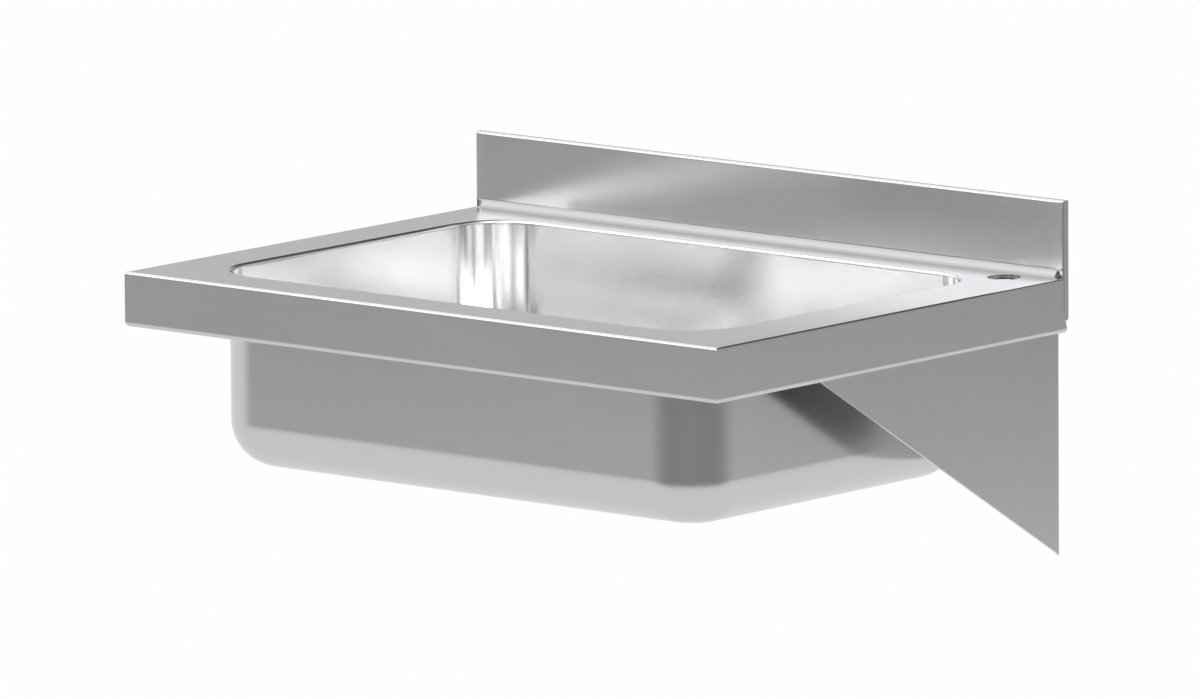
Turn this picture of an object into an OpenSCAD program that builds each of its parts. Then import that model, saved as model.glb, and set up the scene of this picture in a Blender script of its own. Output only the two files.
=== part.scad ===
// Wall-hung hand wash sink, folded and pressed from stainless steel sheet.
// Millimetres. +X is to the right seen from the front, +Y goes into the wall, +Z is up.
// The origin is the middle of the four wall fixings, on the wall plane.

/* [Deck] */
// Overall width
deck_w = 500; // [480:1:600]
// Overall depth, wall to front apron
deck_d = 355; // [350:1:450]
// Height of the front and side aprons
apron_h = 36; // [30:1:50]
// Thickness of the folded sheet
sheet_t = 1.2; // [0.9:0.1:1.5]
// Outer radius of the folds along the top edges
top_fold_r = 1.6; // [1.5:0.1:3]
// Outer radius of the folds along the bottom edges
bottom_fold_r = 3; // [2:0.1:4]
// Width of the inward return under the front apron
front_return_w = 12; // [6:1:20]
// Width of the inward return under the side aprons
side_return_w = 6; // [4.5:0.1:8]
// Radius of the relief hole where the folds meet at the rear corners
relief_r = 2.6; // [1.5:0.1:3]

/* [Upstand] */
// Height of the upstand above the deck
upstand_h = 50.6; // [30:0.2:100]
// Depth of the returns that close the upstand against the wall
upstand_return_d = 5; // [4:0.1:8]
// Radius of the cove between deck and upstand
cove_r = 6; // [3:0.1:8]
// How far above the aprons' bottom edge the side returns end
tab_above_bottom = 8; // [8:0.5:16]

/* [Bowl] */
// Left-hand side of the deck to the bowl's wall
bowl_from_left = 38; // [36:0.5:80]
// Right-hand side of the deck to the bowl's wall, where the tap stands
bowl_from_right = 44.5; // [40:0.5:80]
// Front apron to the bowl's front wall
bowl_from_front = 36; // [35:0.5:60]
// Wall plane to the bowl's rear wall
bowl_from_wall = 30; // [28:0.5:34]
// Bowl depth below the deck
bowl_depth = 128; // [100:1:160]
// Thickness of the pressed bowl
bowl_t = 1; // [0.8:0.1:1.2]
// Plan radius of the bowl's corners
bowl_corner_r = 41; // [34:1:60]
// Radius between the bowl's walls and its floor
bowl_base_r = 30; // [15:1:32]
// Radius of the roll from deck into bowl
rim_r = 2.5; // [2:0.5:4]
// Width of the bowl's flange that is let into the deck
rim_flange_w = 7.5; // [5:0.5:8]

/* [Tap hole] */
// Diameter of the tap hole
tap_hole_d = 22; // [20:0.5:28]
// Middle of the tap hole to the right-hand side of the deck
tap_from_side = 34.2; // [33:0.2:38]
// Flat strip of deck between the tap hole and the cove
tap_land = 2; // [1:0.5:4]
// Thickness of the plate that stiffens the deck under the tap
tap_plate_t = 2; // [1:0.5:4]
// How far that plate reaches past the hole to the left and right
tap_plate_side = 5; // [3:0.5:7]
// How far that plate reaches past the hole to the front and rear
tap_plate_end = 3; // [2:0.5:4]

/* [Brackets] */
// Thickness of the bracket sheet
bracket_t = 2; // [1.5:0.1:3]
// Front apron to the front end of a bracket
bracket_from_front = 65; // [35:1:150]
// Lower wall fixings to the bracket's toe
bracket_toe_l = 43; // [25:1:80]
// Height of the blunt nose at the bracket's front end
bracket_nose_h = 8; // [5:1:20]
// Gap between a bracket and the side return beside it
bracket_gap = 0.7; // [0.3:0.1:2]
// Outer radius of the bracket's folds
bracket_fold_r = 3; // [2.5:0.1:4]
// Width of the flange welded under the deck
bracket_top_w = 12; // [8:1:13]
// Width of the flange screwed to the wall
bracket_wall_w = 28; // [24:1:34]
// Side of the deck to the middle of the wall fixings
fixing_from_side = 22.5; // [20.5:0.5:24.5]
// Distance between the upper and lower wall fixings
fixing_spacing_h = 80; // [60:1:90]
// Deck to the middle of the wall fixings
fixing_drop = 100; // [90:1:105]
// Diameter of the wall fixing holes
fixing_hole_d = 8; // [5:0.5:10]

/* [Waste] */
// Radius of the shallow cone that falls to the outlet
dish_r = 48; // [42:1:60]
// Flat floor between that cone and the bowl's rear fillet
dish_from_fillet = 2; // [1:1:50]
// Outer diameter of the threaded tail
waste_tail_d = 41.91; // [40:0.01:44]
// Length of the tail below the waste's flange
waste_tail_l = 32; // [28:1:45]
// Wall of the tail
waste_wall_t = 3; // [2:0.25:4]
// Gap between the tail and the edge of the hole in the bowl
waste_hole_gap = 1.5; // [0.5:0.25:3]
// How far the waste's flange reaches past that hole
waste_flange_w = 9; // [7:0.5:11]
// Thickness of the waste's flange
waste_flange_t = 2.5; // [2:0.1:3]
// Width of the cross bars in the waste
waste_bar_w = 3; // [2:0.5:5]
// Height of the cross bars
waste_bar_h = 4; // [2:0.5:6]
// Thickness of the seal between flange and bowl
top_seal_t = 1.5; // [1:0.1:2.5]
// Thickness of the seal under the bowl
bottom_seal_t = 3; // [2:0.1:4]
// Thickness of the slip washer above the back nut
slip_washer_t = 1.2; // [0.8:0.1:2]
// Height of the back nut
back_nut_h = 9; // [6:0.5:10]
// Wall of the back nut at its flats
back_nut_wall_t = 6; // [4:0.5:9]

/* [Plug] */
// How far the plug's lip reaches past its seat
plug_lip_w = 2; // [1:0.5:5]
// Height of the plug's lip
plug_lip_h = 2.6; // [2:0.1:4]
// Depth of the plug's body below its seat
plug_body_h = 5; // [3:0.5:6]
// Rubber left free round the steel cap
plug_cap_margin = 8; // [4:0.5:8.5]
// Thickness of the cap
plug_cap_t = 1.5; // [1:0.1:2.5]
// Diameter of the bail's wire
bail_wire_d = 2.4; // [2:0.1:3]
// Radius of the bail's bend
bail_r = 12.5; // [12:0.1:13]
// Length of the bail's straight legs
bail_leg_l = 3; // [1:0.5:5]

/* [Hidden] */
$fn = 96;

// Every cut runs past the faces it opens by this much
overrun = 3;
// Gap between faces that move past each other
running_gap = 0.3;
// Radial clearance of a thread or pin in its hole
fit_gap = 0.05;

// Deck heights and lines
top_z = fixing_drop;
half_w = deck_w / 2;
upstand_y = -upstand_return_d;
seam_y = upstand_y - cove_r;
tab_drop = apron_h - tab_above_bottom;
// The side aprons end a little short of the wall
apron_wall_gap = 1.5;
// The side returns of the upstand narrow over this height at their lower ends
tab_taper_h = 4;
tab_taper_d = 1.6;
// Share of the cove's height that the corner reliefs reach
relief_rise_share = 0.8;
// Small web behind each relief, which closes the corner between cove and side return
corner_web_w = 7.5;
corner_web_rise = 4;

// Bowl lines
bowl_w = deck_w - bowl_from_left - bowl_from_right;
bowl_d = deck_d - bowl_from_front - bowl_from_wall;
bowl_x = (bowl_from_left - bowl_from_right) / 2;
bowl_rear_y = -bowl_from_wall;
bowl_front_y = bowl_rear_y - bowl_d;
bowl_mid_y = (bowl_rear_y + bowl_front_y) / 2;
floor_z = top_z - bowl_depth;
opening_grow = rim_r + rim_flange_w;

// The floor falls in a shallow cone to a recess that takes the waste's flange
waste_hole_d = waste_tail_d + 2 * waste_hole_gap;
waste_flange_d = waste_hole_d + 2 * waste_flange_w;
dish_fall = 2;
recess_step = 2.5;
recess_wall_gap = 1.5;
recess_r = waste_flange_d / 2 + recess_wall_gap;
recess_slant = 2;
seat_z = floor_z - dish_fall - recess_step;

// Tap hole
tap_x = half_w - tap_from_side;
tap_y = seam_y - tap_land - tap_hole_d / 2;
tap_plate_corner_r = 4;
tap_plate_bevel = 9;

// Brackets
bracket_face_x = half_w - side_return_w - bracket_gap;
bracket_reach = deck_d - bracket_from_front;
bracket_top_z = top_z - sheet_t;
bracket_toe_z = -fixing_spacing_h / 2 - bracket_toe_l;
// The wall flange starts below the flange under the deck
wall_flange_start = 14;
// The flange under the deck ends in front of the plate under the tap
top_flange_end = 50;

// Pad between the dish and the bowl's front fillet, and earth tag
pad_from_side = 98.75;
pad_from_fillet = 7;
pad_from_dish = 14;
pad_t = 2.5;
pad_corner_r = 12;
tag_w = 12;
tag_foot_l = 14;
tag_leg_l = 15;
tag_t = 1.2;
tag_hole_d = 5;
tag_from_wall = 60;
tag_drop = 66;

// Waste, from the seat in the bowl downwards and upwards
waste_x = bowl_x;
waste_y = bowl_rear_y - bowl_base_r - dish_from_fillet - dish_r;
waste_bore_d = waste_tail_d - 2 * waste_wall_t;
flange_under_z = seat_z + top_seal_t;
flange_top_z = flange_under_z + waste_flange_t;
tail_end_z = flange_under_z - waste_tail_l;
bowl_under_z = seat_z - bowl_t;
bottom_seal_z = bowl_under_z - bottom_seal_t;
slip_washer_z = bottom_seal_z - slip_washer_t;
back_nut_z = slip_washer_z - back_nut_h;
// The plug's seat is a short cone at the mouth of the waste
seat_widen = 3.5;
seat_h = 4.5;
seat_top_r = waste_bore_d / 2 + seat_widen;
flange_edge_h = 0.9;
flange_slope_w = 3.5;
hub_r = 4.5;
bar_drop = 12;
tail_chamfer = 1;
// A groove parts the back nut's thread from the trap's thread
thread_groove_w = 1.5;
thread_groove_d = 0.6;
seal_d = waste_flange_d - recess_wall_gap;
back_nut_af = waste_tail_d + 2 * back_nut_wall_t;
nut_skirt_w = 2;
nut_skirt_h = 2.4;
nut_chamfer_share = 0.1;

// Plug, from the waste's flange upwards
plug_lip_d = 2 * (seat_top_r + plug_lip_w);
plug_cap_d = plug_lip_d - 2 * plug_cap_margin;
lip_z = flange_top_z + running_gap;
lip_top_z = lip_z + plug_lip_h;
cap_top_z = lip_top_z + plug_cap_t;
bail_wire_r = bail_wire_d / 2;
bail_axis_z = cap_top_z + bail_wire_r + running_gap;
lip_round_r = 1.2;
ear_t = 1.8;
ear_r = 2.7;
ear_face_x = bail_r - bail_wire_r - running_gap;
pin_inner_x = ear_face_x - ear_t - running_gap;
rivet_r = 2.2;
rivet_head_r = 4;
rivet_head_h = 1.6;

steel = "#b9b8bb";
satin_steel = "#a9a8ab";
bright_steel = "#cfced1";
chrome = "#d9dadd";
black_rubber = "#2b2b2d";
grey_rubber = "#55565a";
white_plastic = "#d8d6cf";
bitumen = "#3a3a3c";

// A rectangle between two corners with its own radius for the top and the bottom pair
module fold_outline(low, high, top_r, bottom_r) {
    size = high - low;
    translate([low.x, low.y + bottom_r])
        square([size.x, size.y - top_r - bottom_r]);
    translate([low.x + bottom_r, low.y])
        square([size.x - 2 * bottom_r, bottom_r]);
    translate([low.x + top_r, high.y - top_r])
        square([size.x - 2 * top_r, top_r]);
    for (x = [low.x + bottom_r, high.x - bottom_r])
        translate([x, low.y + bottom_r])
            circle(bottom_r);
    for (x = [low.x + top_r, high.x - top_r])
        translate([x, high.y - top_r])
            circle(top_r);
}

// A rectangle about the origin with round corners
module round_rect(size, r) {
    square([size.x - 2 * r, size.y], center = true);
    square([size.x, size.y - 2 * r], center = true);
    for (x = [-1, 1])
        for (y = [-1, 1])
            translate([x * (size.x / 2 - r), y * (size.y / 2 - r)])
                circle(r);
}

// Extrudes a profile drawn in Y and Z along X
module along_x(from, to) {
    translate([from, 0, 0])
        rotate([90, 0, 90])
            linear_extrude(to - from)
                children();
}

// Extrudes a profile drawn in X and Z along Y
module along_y(from, to) {
    translate([0, to, 0])
        rotate([90, 0, 0])
            linear_extrude(to - from)
                children();
}

// A quarter of a ring, in the quadrant that the two signs pick
module quarter_ring(inner_r, outer_r, quadrant) {
    intersection() {
        difference() {
            circle(outer_r);
            circle(inner_r);
        }
        scale(quadrant)
            square(outer_r);
    }
}

// The block inside the folds, drawn in by the sheet's thickness where inset is the sheet
module deck_block(inset) {
    reach = inset > 0 ? overrun : 0;
    intersection() {
        along_y(-deck_d, reach)
            fold_outline(
                [-half_w + inset, top_z - apron_h + inset],
                [half_w - inset, top_z - inset],
                top_fold_r - inset, bottom_fold_r - inset
            );
        along_x(-half_w, half_w)
            fold_outline(
                [-deck_d + inset, top_z - apron_h + inset],
                [deck_d, top_z - inset],
                top_fold_r - inset, bottom_fold_r - inset
            );
    }
}

// Rear edge of a side apron, stepped round the upstand's side return
module apron_end() {
    tab_z = top_z - tab_drop;
    along_x(-half_w - overrun, half_w + overrun)
        polygon([
            [upstand_y, top_z + overrun],
            [upstand_y, tab_z + tab_taper_h],
            [-apron_wall_gap, tab_z],
            [-apron_wall_gap, top_z - apron_h - overrun],
            [overrun * 2, top_z - apron_h - overrun],
            [overrun * 2, top_z + overrun]
        ]);
}

// Holes where the deck, apron and upstand folds meet at the rear corners
module corner_reliefs() {
    for (side = [-1, 1])
        translate([side * (half_w - sheet_t / 2 - relief_r), upstand_y - relief_r / 2, top_z - apron_h / 2])
            cylinder(r = relief_r, h = apron_h / 2 + cove_r * relief_rise_share);
}

module bowl_opening_2d(grow) {
    translate([bowl_x, bowl_mid_y])
        round_rect([bowl_w + 2 * grow, bowl_d + 2 * grow], bowl_corner_r + grow);
}

module tap_hole(from, to) {
    translate([tap_x, tap_y, from])
        cylinder(d = tap_hole_d, h = to - from);
}

module deck() {
    color(steel)
        difference() {
            deck_block(0);
            deck_block(sheet_t);
            // Open underside between the returns
            translate([-half_w + side_return_w, -deck_d + front_return_w, top_z - apron_h - overrun])
                cube([deck_w - 2 * side_return_w, deck_d, bottom_fold_r + overrun]);
            apron_end();
            // The cove of the upstand takes over from the seam on
            translate([-half_w + sheet_t, seam_y, top_z - sheet_t - overrun])
                cube([deck_w - 2 * sheet_t, deck_d, sheet_t + 2 * overrun]);
            translate([0, 0, top_z - sheet_t - overrun])
                linear_extrude(sheet_t + 2 * overrun)
                    bowl_opening_2d(opening_grow);
            tap_hole(top_z - sheet_t - overrun, top_z + overrun);
            corner_reliefs();
        }
}

// The upstand's outer block: front face, folded top edge and folded ends
module upstand_block(inset) {
    reach = inset > 0 ? overrun : 0;
    low_z = top_z - tab_drop - reach;
    intersection() {
        along_x(-half_w + inset, half_w - inset)
            fold_outline(
                [upstand_y + inset, low_z - top_fold_r],
                [upstand_return_d + reach, top_z + upstand_h - inset],
                top_fold_r - inset, top_fold_r - inset
            );
        translate([0, 0, low_z])
            linear_extrude(top_z + upstand_h - low_z)
                rotate(180)
                    fold_outline(
                        [-half_w + inset, -upstand_return_d - reach],
                        [half_w - inset, upstand_return_d - inset],
                        top_fold_r - inset, top_fold_r - inset
                    );
        translate([-half_w, upstand_y, low_z])
            cube([deck_w, upstand_return_d + reach, top_z + upstand_h - low_z]);
    }
}

// Lower ends of the side returns, narrowed towards the tip
module tab_ends() {
    tab_z = top_z - tab_drop;
    along_x(-half_w - overrun, half_w + overrun) {
        polygon([
            [upstand_y - overrun, tab_z - overrun],
            [upstand_y - overrun, tab_z + tab_taper_h],
            [upstand_y, tab_z + tab_taper_h],
            [-apron_wall_gap, tab_z],
            [-apron_wall_gap, tab_z - overrun]
        ]);
        polygon([
            [overrun, tab_z - overrun],
            [-tab_taper_d, tab_z - overrun],
            [-tab_taper_d, tab_z],
            [0, tab_z + tab_taper_d],
            [overrun, tab_z + tab_taper_d]
        ]);
    }
}

// Webs welded behind the corner reliefs
module corner_webs() {
    for (side = [-1, 1])
        mirror([side < 0 ? 1 : 0, 0, 0])
            translate([half_w - sheet_t - corner_web_w, upstand_y + sheet_t, bracket_top_z])
                cube([corner_web_w, sheet_t, top_z + cove_r + corner_web_rise - bracket_top_z]);
}

module upstand() {
    color(steel) {
        corner_webs();
        difference() {
            union() {
                difference() {
                    upstand_block(0);
                    upstand_block(sheet_t);
                    // Below the cove only the side returns go on
                    translate([-half_w + sheet_t, upstand_y - overrun, top_z - tab_drop - overrun])
                        cube([deck_w - 2 * sheet_t, sheet_t + 2 * overrun, tab_drop + cove_r + overrun]);
                }
                along_x(-half_w + sheet_t, half_w - sheet_t)
                    translate([seam_y, top_z + cove_r])
                        quarter_ring(cove_r, cove_r + sheet_t, [1, -1]);
            }
            tab_ends();
            corner_reliefs();
        }
    }
}

// Half of the bowl's section: X is the distance outwards from the inner wall face
module bowl_section() {
    lip_z0 = top_z - rim_r;
    fillet_z = floor_z + bowl_base_r;
    translate([0, fillet_z])
        square([bowl_t, lip_z0 - fillet_z]);
    translate([rim_r, lip_z0])
        quarter_ring(rim_r - bowl_t, rim_r, [-1, 1]);
    translate([rim_r, top_z - bowl_t])
        square([rim_flange_w, bowl_t]);
    translate([-bowl_base_r, fillet_z])
        quarter_ring(bowl_base_r, bowl_base_r + bowl_t, [1, -1]);
    translate([-bowl_corner_r, floor_z - bowl_t])
        square([bowl_corner_r - bowl_base_r, bowl_t]);
}

module bowl_wall(length) {
    rotate([90, 0, 0])
        linear_extrude(length, center = true)
            bowl_section();
}

module bowl_corner() {
    rotate_extrude(angle = 90)
        translate([bowl_corner_r, 0])
            bowl_section();
}

// Shallow cone and recess round the outlet, as one revolved sheet
module outlet_dish() {
    under = [
        [waste_hole_d / 2, seat_z - bowl_t],
        [recess_r, seat_z - bowl_t],
        [recess_r + recess_slant, floor_z - dish_fall - bowl_t],
        [dish_r, floor_z - bowl_t]
    ];
    over = [for (i = [len(under) - 1:-1:0]) under[i] + [0, bowl_t]];
    rotate_extrude()
        polygon(concat(under, over));
}

module bowl() {
    flat_w = bowl_w - 2 * bowl_corner_r;
    flat_d = bowl_d - 2 * bowl_corner_r;
    color(bright_steel) {
        difference() {
            translate([bowl_x, bowl_mid_y, 0]) {
                for (turn = [0, 180])
                    rotate(turn) {
                        translate([bowl_w / 2, 0, 0])
                            bowl_wall(flat_d);
                        translate([0, bowl_d / 2, 0])
                            rotate(90)
                                bowl_wall(flat_w);
                        translate([flat_w / 2, flat_d / 2, 0])
                            bowl_corner();
                        translate([-flat_w / 2, flat_d / 2, 0])
                            rotate(90)
                                bowl_corner();
                    }
                translate([-flat_w / 2, -flat_d / 2, floor_z - bowl_t])
                    cube([flat_w, flat_d, bowl_t]);
            }
            translate([waste_x, waste_y, floor_z - bowl_t - overrun])
                cylinder(r = dish_r, h = bowl_t + 2 * overrun);
        }
        translate([waste_x, waste_y, 0])
            outlet_dish();
    }
}

// Side view of a bracket: triangle with a blunt nose, standing on the wall plane
module bracket_side_2d() {
    polygon([
        [0, bracket_top_z],
        [-bracket_reach, bracket_top_z],
        [-bracket_reach, bracket_top_z - bracket_nose_h],
        [0, bracket_toe_z]
    ]);
}

// Sheet folded along one edge: leg along X, leg along Y, outer corner at the origin
module folded_angle_2d(leg_x, leg_y) {
    translate([bracket_fold_r, 0])
        square([leg_x - bracket_fold_r, bracket_t]);
    translate([0, bracket_fold_r])
        square([bracket_t, leg_y - bracket_fold_r]);
    translate([bracket_fold_r, bracket_fold_r])
        quarter_ring(bracket_fold_r - bracket_t, bracket_fold_r, [-1, -1]);
}

module bracket(side) {
    fixing_x = half_w - fixing_from_side;
    height = bracket_top_z - bracket_toe_z;
    mirror([side < 0 ? 1 : 0, 0, 0])
        difference() {
            union() {
                // Gusset and wall flange, folded at the wall
                intersection() {
                    translate([bracket_face_x, 0, bracket_toe_z])
                        rotate(180)
                            linear_extrude(height)
                                folded_angle_2d(bracket_wall_w, bracket_reach);
                    along_x(half_w - deck_w, half_w)
                        bracket_side_2d();
                    // The wall flange is cut away at both ends
                    along_y(-deck_d, overrun)
                        polygon([
                            [bracket_face_x, bracket_top_z - bracket_fold_r],
                            [bracket_face_x, bracket_toe_z],
                            [bracket_face_x - bracket_wall_w, bracket_toe_z + bracket_wall_w],
                            [bracket_face_x - bracket_wall_w, bracket_top_z - wall_flange_start],
                            [bracket_face_x - bracket_fold_r, bracket_top_z - wall_flange_start],
                            [bracket_face_x - bracket_fold_r, bracket_top_z - bracket_fold_r]
                        ]);
                }
                // Flange under the deck
                intersection() {
                    translate([bracket_face_x, 0, bracket_top_z])
                        rotate([90, 180, 0])
                            linear_extrude(bracket_reach)
                                folded_angle_2d(bracket_top_w, bracket_fold_r * 2);
                    translate([0, -bracket_reach, bracket_top_z - bracket_fold_r])
                        cube([half_w, bracket_reach - top_flange_end, bracket_fold_r]);
                }
            }
            for (z = [-1, 1])
                translate([fixing_x, overrun, z * fixing_spacing_h / 2])
                    rotate([90, 0, 0])
                        cylinder(d = fixing_hole_d, h = bracket_t + 2 * overrun);
        }
}

module bracket_left() {
    color(satin_steel)
        bracket(-1);
}

module bracket_right() {
    color(satin_steel)
        bracket(1);
}

// Plate under the tap hole, bevelled towards the bowl
module tap_hole_plate() {
    plate_w = tap_hole_d + 2 * tap_plate_side;
    plate_d = tap_hole_d + 2 * tap_plate_end;
    color(satin_steel)
        difference() {
            translate([tap_x, tap_y, bracket_top_z - tap_plate_t])
                linear_extrude(tap_plate_t)
                    difference() {
                        round_rect([plate_w, plate_d], tap_plate_corner_r);
                        translate([-plate_w / 2, -plate_d / 2])
                            rotate(45)
                                square(tap_plate_bevel, center = true);
                    }
            tap_hole(bracket_top_z - tap_plate_t - overrun, top_z);
        }
}

// Damping pad stuck under the bowl's floor, in front of the outlet
module sound_pad() {
    rear_y = waste_y - dish_r - pad_from_dish;
    front_y = bowl_front_y + bowl_base_r + pad_from_fillet;
    color(bitumen)
        translate([bowl_x, (rear_y + front_y) / 2, floor_z - bowl_t - pad_t])
            linear_extrude(pad_t)
                round_rect([bowl_w - 2 * pad_from_side, rear_y - front_y], pad_corner_r);
}

// Earthing tag welded to the inner face of the left bracket
module earth_tag() {
    foot_x = -bracket_face_x + bracket_t;
    color(satin_steel)
        translate([foot_x, -tag_from_wall, top_z - tag_drop])
            difference() {
                union() {
                    translate([0, -tag_foot_l, 0])
                        cube([tag_t, tag_foot_l, tag_w]);
                    cube([tag_leg_l, tag_t, tag_w]);
                }
                translate([tag_leg_l - tag_w / 2, overrun, tag_w / 2])
                    rotate([90, 0, 0])
                        cylinder(d = tag_hole_d, h = tag_t + 2 * overrun);
            }
}

module at_waste() {
    translate([waste_x, waste_y, 0])
        children();
}

// Waste: flange with a coned seat, cross bars and a tail for the trap
module waste_body() {
    bore_r = waste_bore_d / 2;
    tail_r = waste_tail_d / 2;
    flange_r = waste_flange_d / 2;
    bar_z = flange_top_z - bar_drop;
    color(chrome)
        at_waste() {
            rotate_extrude()
                polygon([
                    [bore_r, tail_end_z],
                    [tail_r - tail_chamfer, tail_end_z],
                    [tail_r, tail_end_z + tail_chamfer],
                    [tail_r, back_nut_z - thread_groove_w],
                    [tail_r - thread_groove_d, back_nut_z - thread_groove_w],
                    [tail_r - thread_groove_d, back_nut_z],
                    [tail_r, back_nut_z],
                    [tail_r, flange_under_z],
                    [flange_r, flange_under_z],
                    [flange_r, flange_under_z + flange_edge_h],
                    [flange_r - flange_slope_w, flange_top_z],
                    [seat_top_r, flange_top_z],
                    [bore_r, flange_top_z - seat_h]
                ]);
            intersection() {
                translate([0, 0, bar_z - waste_bar_h]) {
                    for (turn = [0, 90])
                        rotate(turn)
                            translate([-tail_r, -waste_bar_w / 2, 0])
                                cube([waste_tail_d, waste_bar_w, waste_bar_h]);
                    cylinder(r = hub_r, h = waste_bar_h);
                }
                translate([0, 0, tail_end_z])
                    cylinder(r = (bore_r + tail_r) / 2, h = waste_tail_l);
            }
        }
}

module washer(inner_d, outer_d, low_z, thickness) {
    at_waste()
        translate([0, 0, low_z])
            difference() {
                cylinder(d = outer_d, h = thickness);
                translate([0, 0, -overrun])
                    cylinder(d = inner_d, h = thickness + 2 * overrun);
            }
}

module waste_top_seal() {
    color(white_plastic)
        washer(waste_hole_d, seal_d, seat_z, top_seal_t);
}

module waste_bottom_seal() {
    color(grey_rubber)
        washer(waste_tail_d + 2 * fit_gap, seal_d, bottom_seal_z, bottom_seal_t);
}

module waste_slip_washer() {
    color(white_plastic)
        washer(waste_tail_d + 2 * fit_gap, seal_d, slip_washer_z, slip_washer_t);
}

// Back nut: round skirt below the washer and a hexagon with turned corners
module waste_back_nut() {
    across_corners = back_nut_af / cos(30);
    turned = back_nut_h * nut_chamfer_share;
    color(chrome)
        at_waste()
            translate([0, 0, back_nut_z])
                difference() {
                    union() {
                        translate([0, 0, back_nut_h - nut_skirt_h])
                            cylinder(d = back_nut_af + 2 * nut_skirt_w, h = nut_skirt_h);
                        intersection() {
                            cylinder(d = across_corners, h = back_nut_h - nut_skirt_h, $fn = 6);
                            union() {
                                cylinder(d1 = back_nut_af, d2 = across_corners, h = turned * 2);
                                translate([0, 0, turned * 2])
                                    cylinder(d = across_corners, h = back_nut_h);
                            }
                        }
                    }
                    translate([0, 0, -overrun])
                        cylinder(d = waste_tail_d + 2 * fit_gap, h = back_nut_h + 2 * overrun);
                }
}

// Rubber plug: tapered body that follows the seat, and a lip that covers it
module plug_rubber() {
    body_r = waste_bore_d / 2 - running_gap;
    seat_r = seat_top_r - running_gap;
    lip_r = plug_lip_d / 2;
    seat_low_z = flange_top_z - seat_h;
    color(black_rubber)
        at_waste()
            difference() {
                rotate_extrude() {
                    polygon([
                        [0, seat_low_z - plug_body_h],
                        [body_r - lip_round_r, seat_low_z - plug_body_h],
                        [body_r, seat_low_z],
                        [seat_r, lip_z],
                        [lip_r, lip_z],
                        [lip_r, lip_top_z - lip_round_r],
                        [lip_r - lip_round_r, lip_top_z - lip_round_r],
                        [lip_r - lip_round_r, lip_top_z],
                        [0, lip_top_z]
                    ]);
                    translate([lip_r - lip_round_r, lip_top_z - lip_round_r])
                        circle(lip_round_r);
                }
                translate([0, 0, seat_low_z - plug_body_h - overrun])
                    cylinder(r = rivet_r, h = bowl_depth);
            }
}

// Steel cap with two ears that carry the bail
module plug_cap() {
    ear_h = bail_axis_z - lip_top_z;
    color(bright_steel)
        at_waste()
            difference() {
                union() {
                    translate([0, 0, lip_top_z])
                        cylinder(d = plug_cap_d, h = plug_cap_t);
                    for (side = [-1, 1])
                        translate([side * (ear_face_x - ear_t / 2), 0, 0])
                            rotate([90, 0, 90])
                                linear_extrude(ear_t, center = true) {
                                    translate([-ear_r, lip_top_z])
                                        square([2 * ear_r, ear_h]);
                                    translate([0, bail_axis_z])
                                        circle(ear_r);
                                }
                }
                translate([-bail_r, 0, bail_axis_z])
                    rotate([0, 90, 0])
                        cylinder(r = bail_wire_r + fit_gap, h = 2 * bail_r);
                translate([0, 0, lip_top_z - overrun])
                    cylinder(r = rivet_r, h = plug_cap_t + 2 * overrun);
            }
}

// Rivet through cap and rubber, domed above and flat below
module plug_rivet() {
    seat_low_z = flange_top_z - seat_h;
    foot_z = seat_low_z - plug_body_h;
    dome_r = (pow(rivet_head_r, 2) + pow(rivet_head_h, 2)) / (2 * rivet_head_h);
    color(chrome)
        at_waste() {
            translate([0, 0, foot_z - rivet_head_h / 2])
                cylinder(r = rivet_head_r, h = rivet_head_h / 2);
            translate([0, 0, foot_z])
                cylinder(r = rivet_r, h = cap_top_z - foot_z);
            intersection() {
                translate([0, 0, cap_top_z + rivet_head_h - dome_r])
                    sphere(dome_r);
                translate([0, 0, cap_top_z])
                    cylinder(r = rivet_head_r, h = rivet_head_h);
            }
        }
}

// Wire bail, lying towards the front at rest
module plug_bail() {
    color(chrome)
        at_waste()
            translate([0, 0, bail_axis_z]) {
                translate([0, -bail_leg_l, 0])
                    rotate(180)
                        rotate_extrude(angle = 180)
                            translate([bail_r, 0])
                                circle(bail_wire_r);
                for (side = [-1, 1]) {
                    translate([side * bail_r, 0, 0]) {
                        sphere(bail_wire_r);
                        rotate([90, 0, 0])
                            cylinder(r = bail_wire_r, h = bail_leg_l);
                        rotate([0, -side * 90, 0])
                            cylinder(r = bail_wire_r, h = bail_r - pin_inner_x);
                    }
                }
            }
}

deck();
upstand();
bowl();
bracket_left();
bracket_right();
tap_hole_plate();
sound_pad();
earth_tag();
waste_body();
waste_top_seal();
waste_bottom_seal();
waste_slip_washer();
waste_back_nut();
plug_rubber();
plug_cap();
plug_rivet();
plug_bail();
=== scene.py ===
"""Surfaces, finishes and studio of a wall-hung hand wash sink in folded and pressed steel.

Lengths are in metres in the part's own frame: X to the right, Y into the wall, Z up, and
the origin in the middle of the four wall fixings.
"""

import math

import bmesh
import bpy
import numpy as np
from bpy.props import FloatProperty, FloatVectorProperty, PointerProperty
from mathutils import Matrix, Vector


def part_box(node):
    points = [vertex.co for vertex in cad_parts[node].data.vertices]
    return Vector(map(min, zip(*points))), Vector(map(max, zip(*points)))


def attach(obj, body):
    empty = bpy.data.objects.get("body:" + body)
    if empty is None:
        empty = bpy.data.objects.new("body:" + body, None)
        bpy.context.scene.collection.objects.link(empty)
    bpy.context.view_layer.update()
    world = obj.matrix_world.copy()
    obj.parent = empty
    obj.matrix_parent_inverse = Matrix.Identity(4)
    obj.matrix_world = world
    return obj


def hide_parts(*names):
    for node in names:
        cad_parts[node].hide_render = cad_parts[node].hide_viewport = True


bl_info = {
    "name": "Hand wash sink",
    "version": (1, 0, 0),
    "blender": (4, 5, 0),
    "location": "3D View > Sidebar > Hand wash sink",
    "description": "Builds the steel surfaces and finishes of a wall-hung hand wash sink",
    "category": "Object",
}

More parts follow.
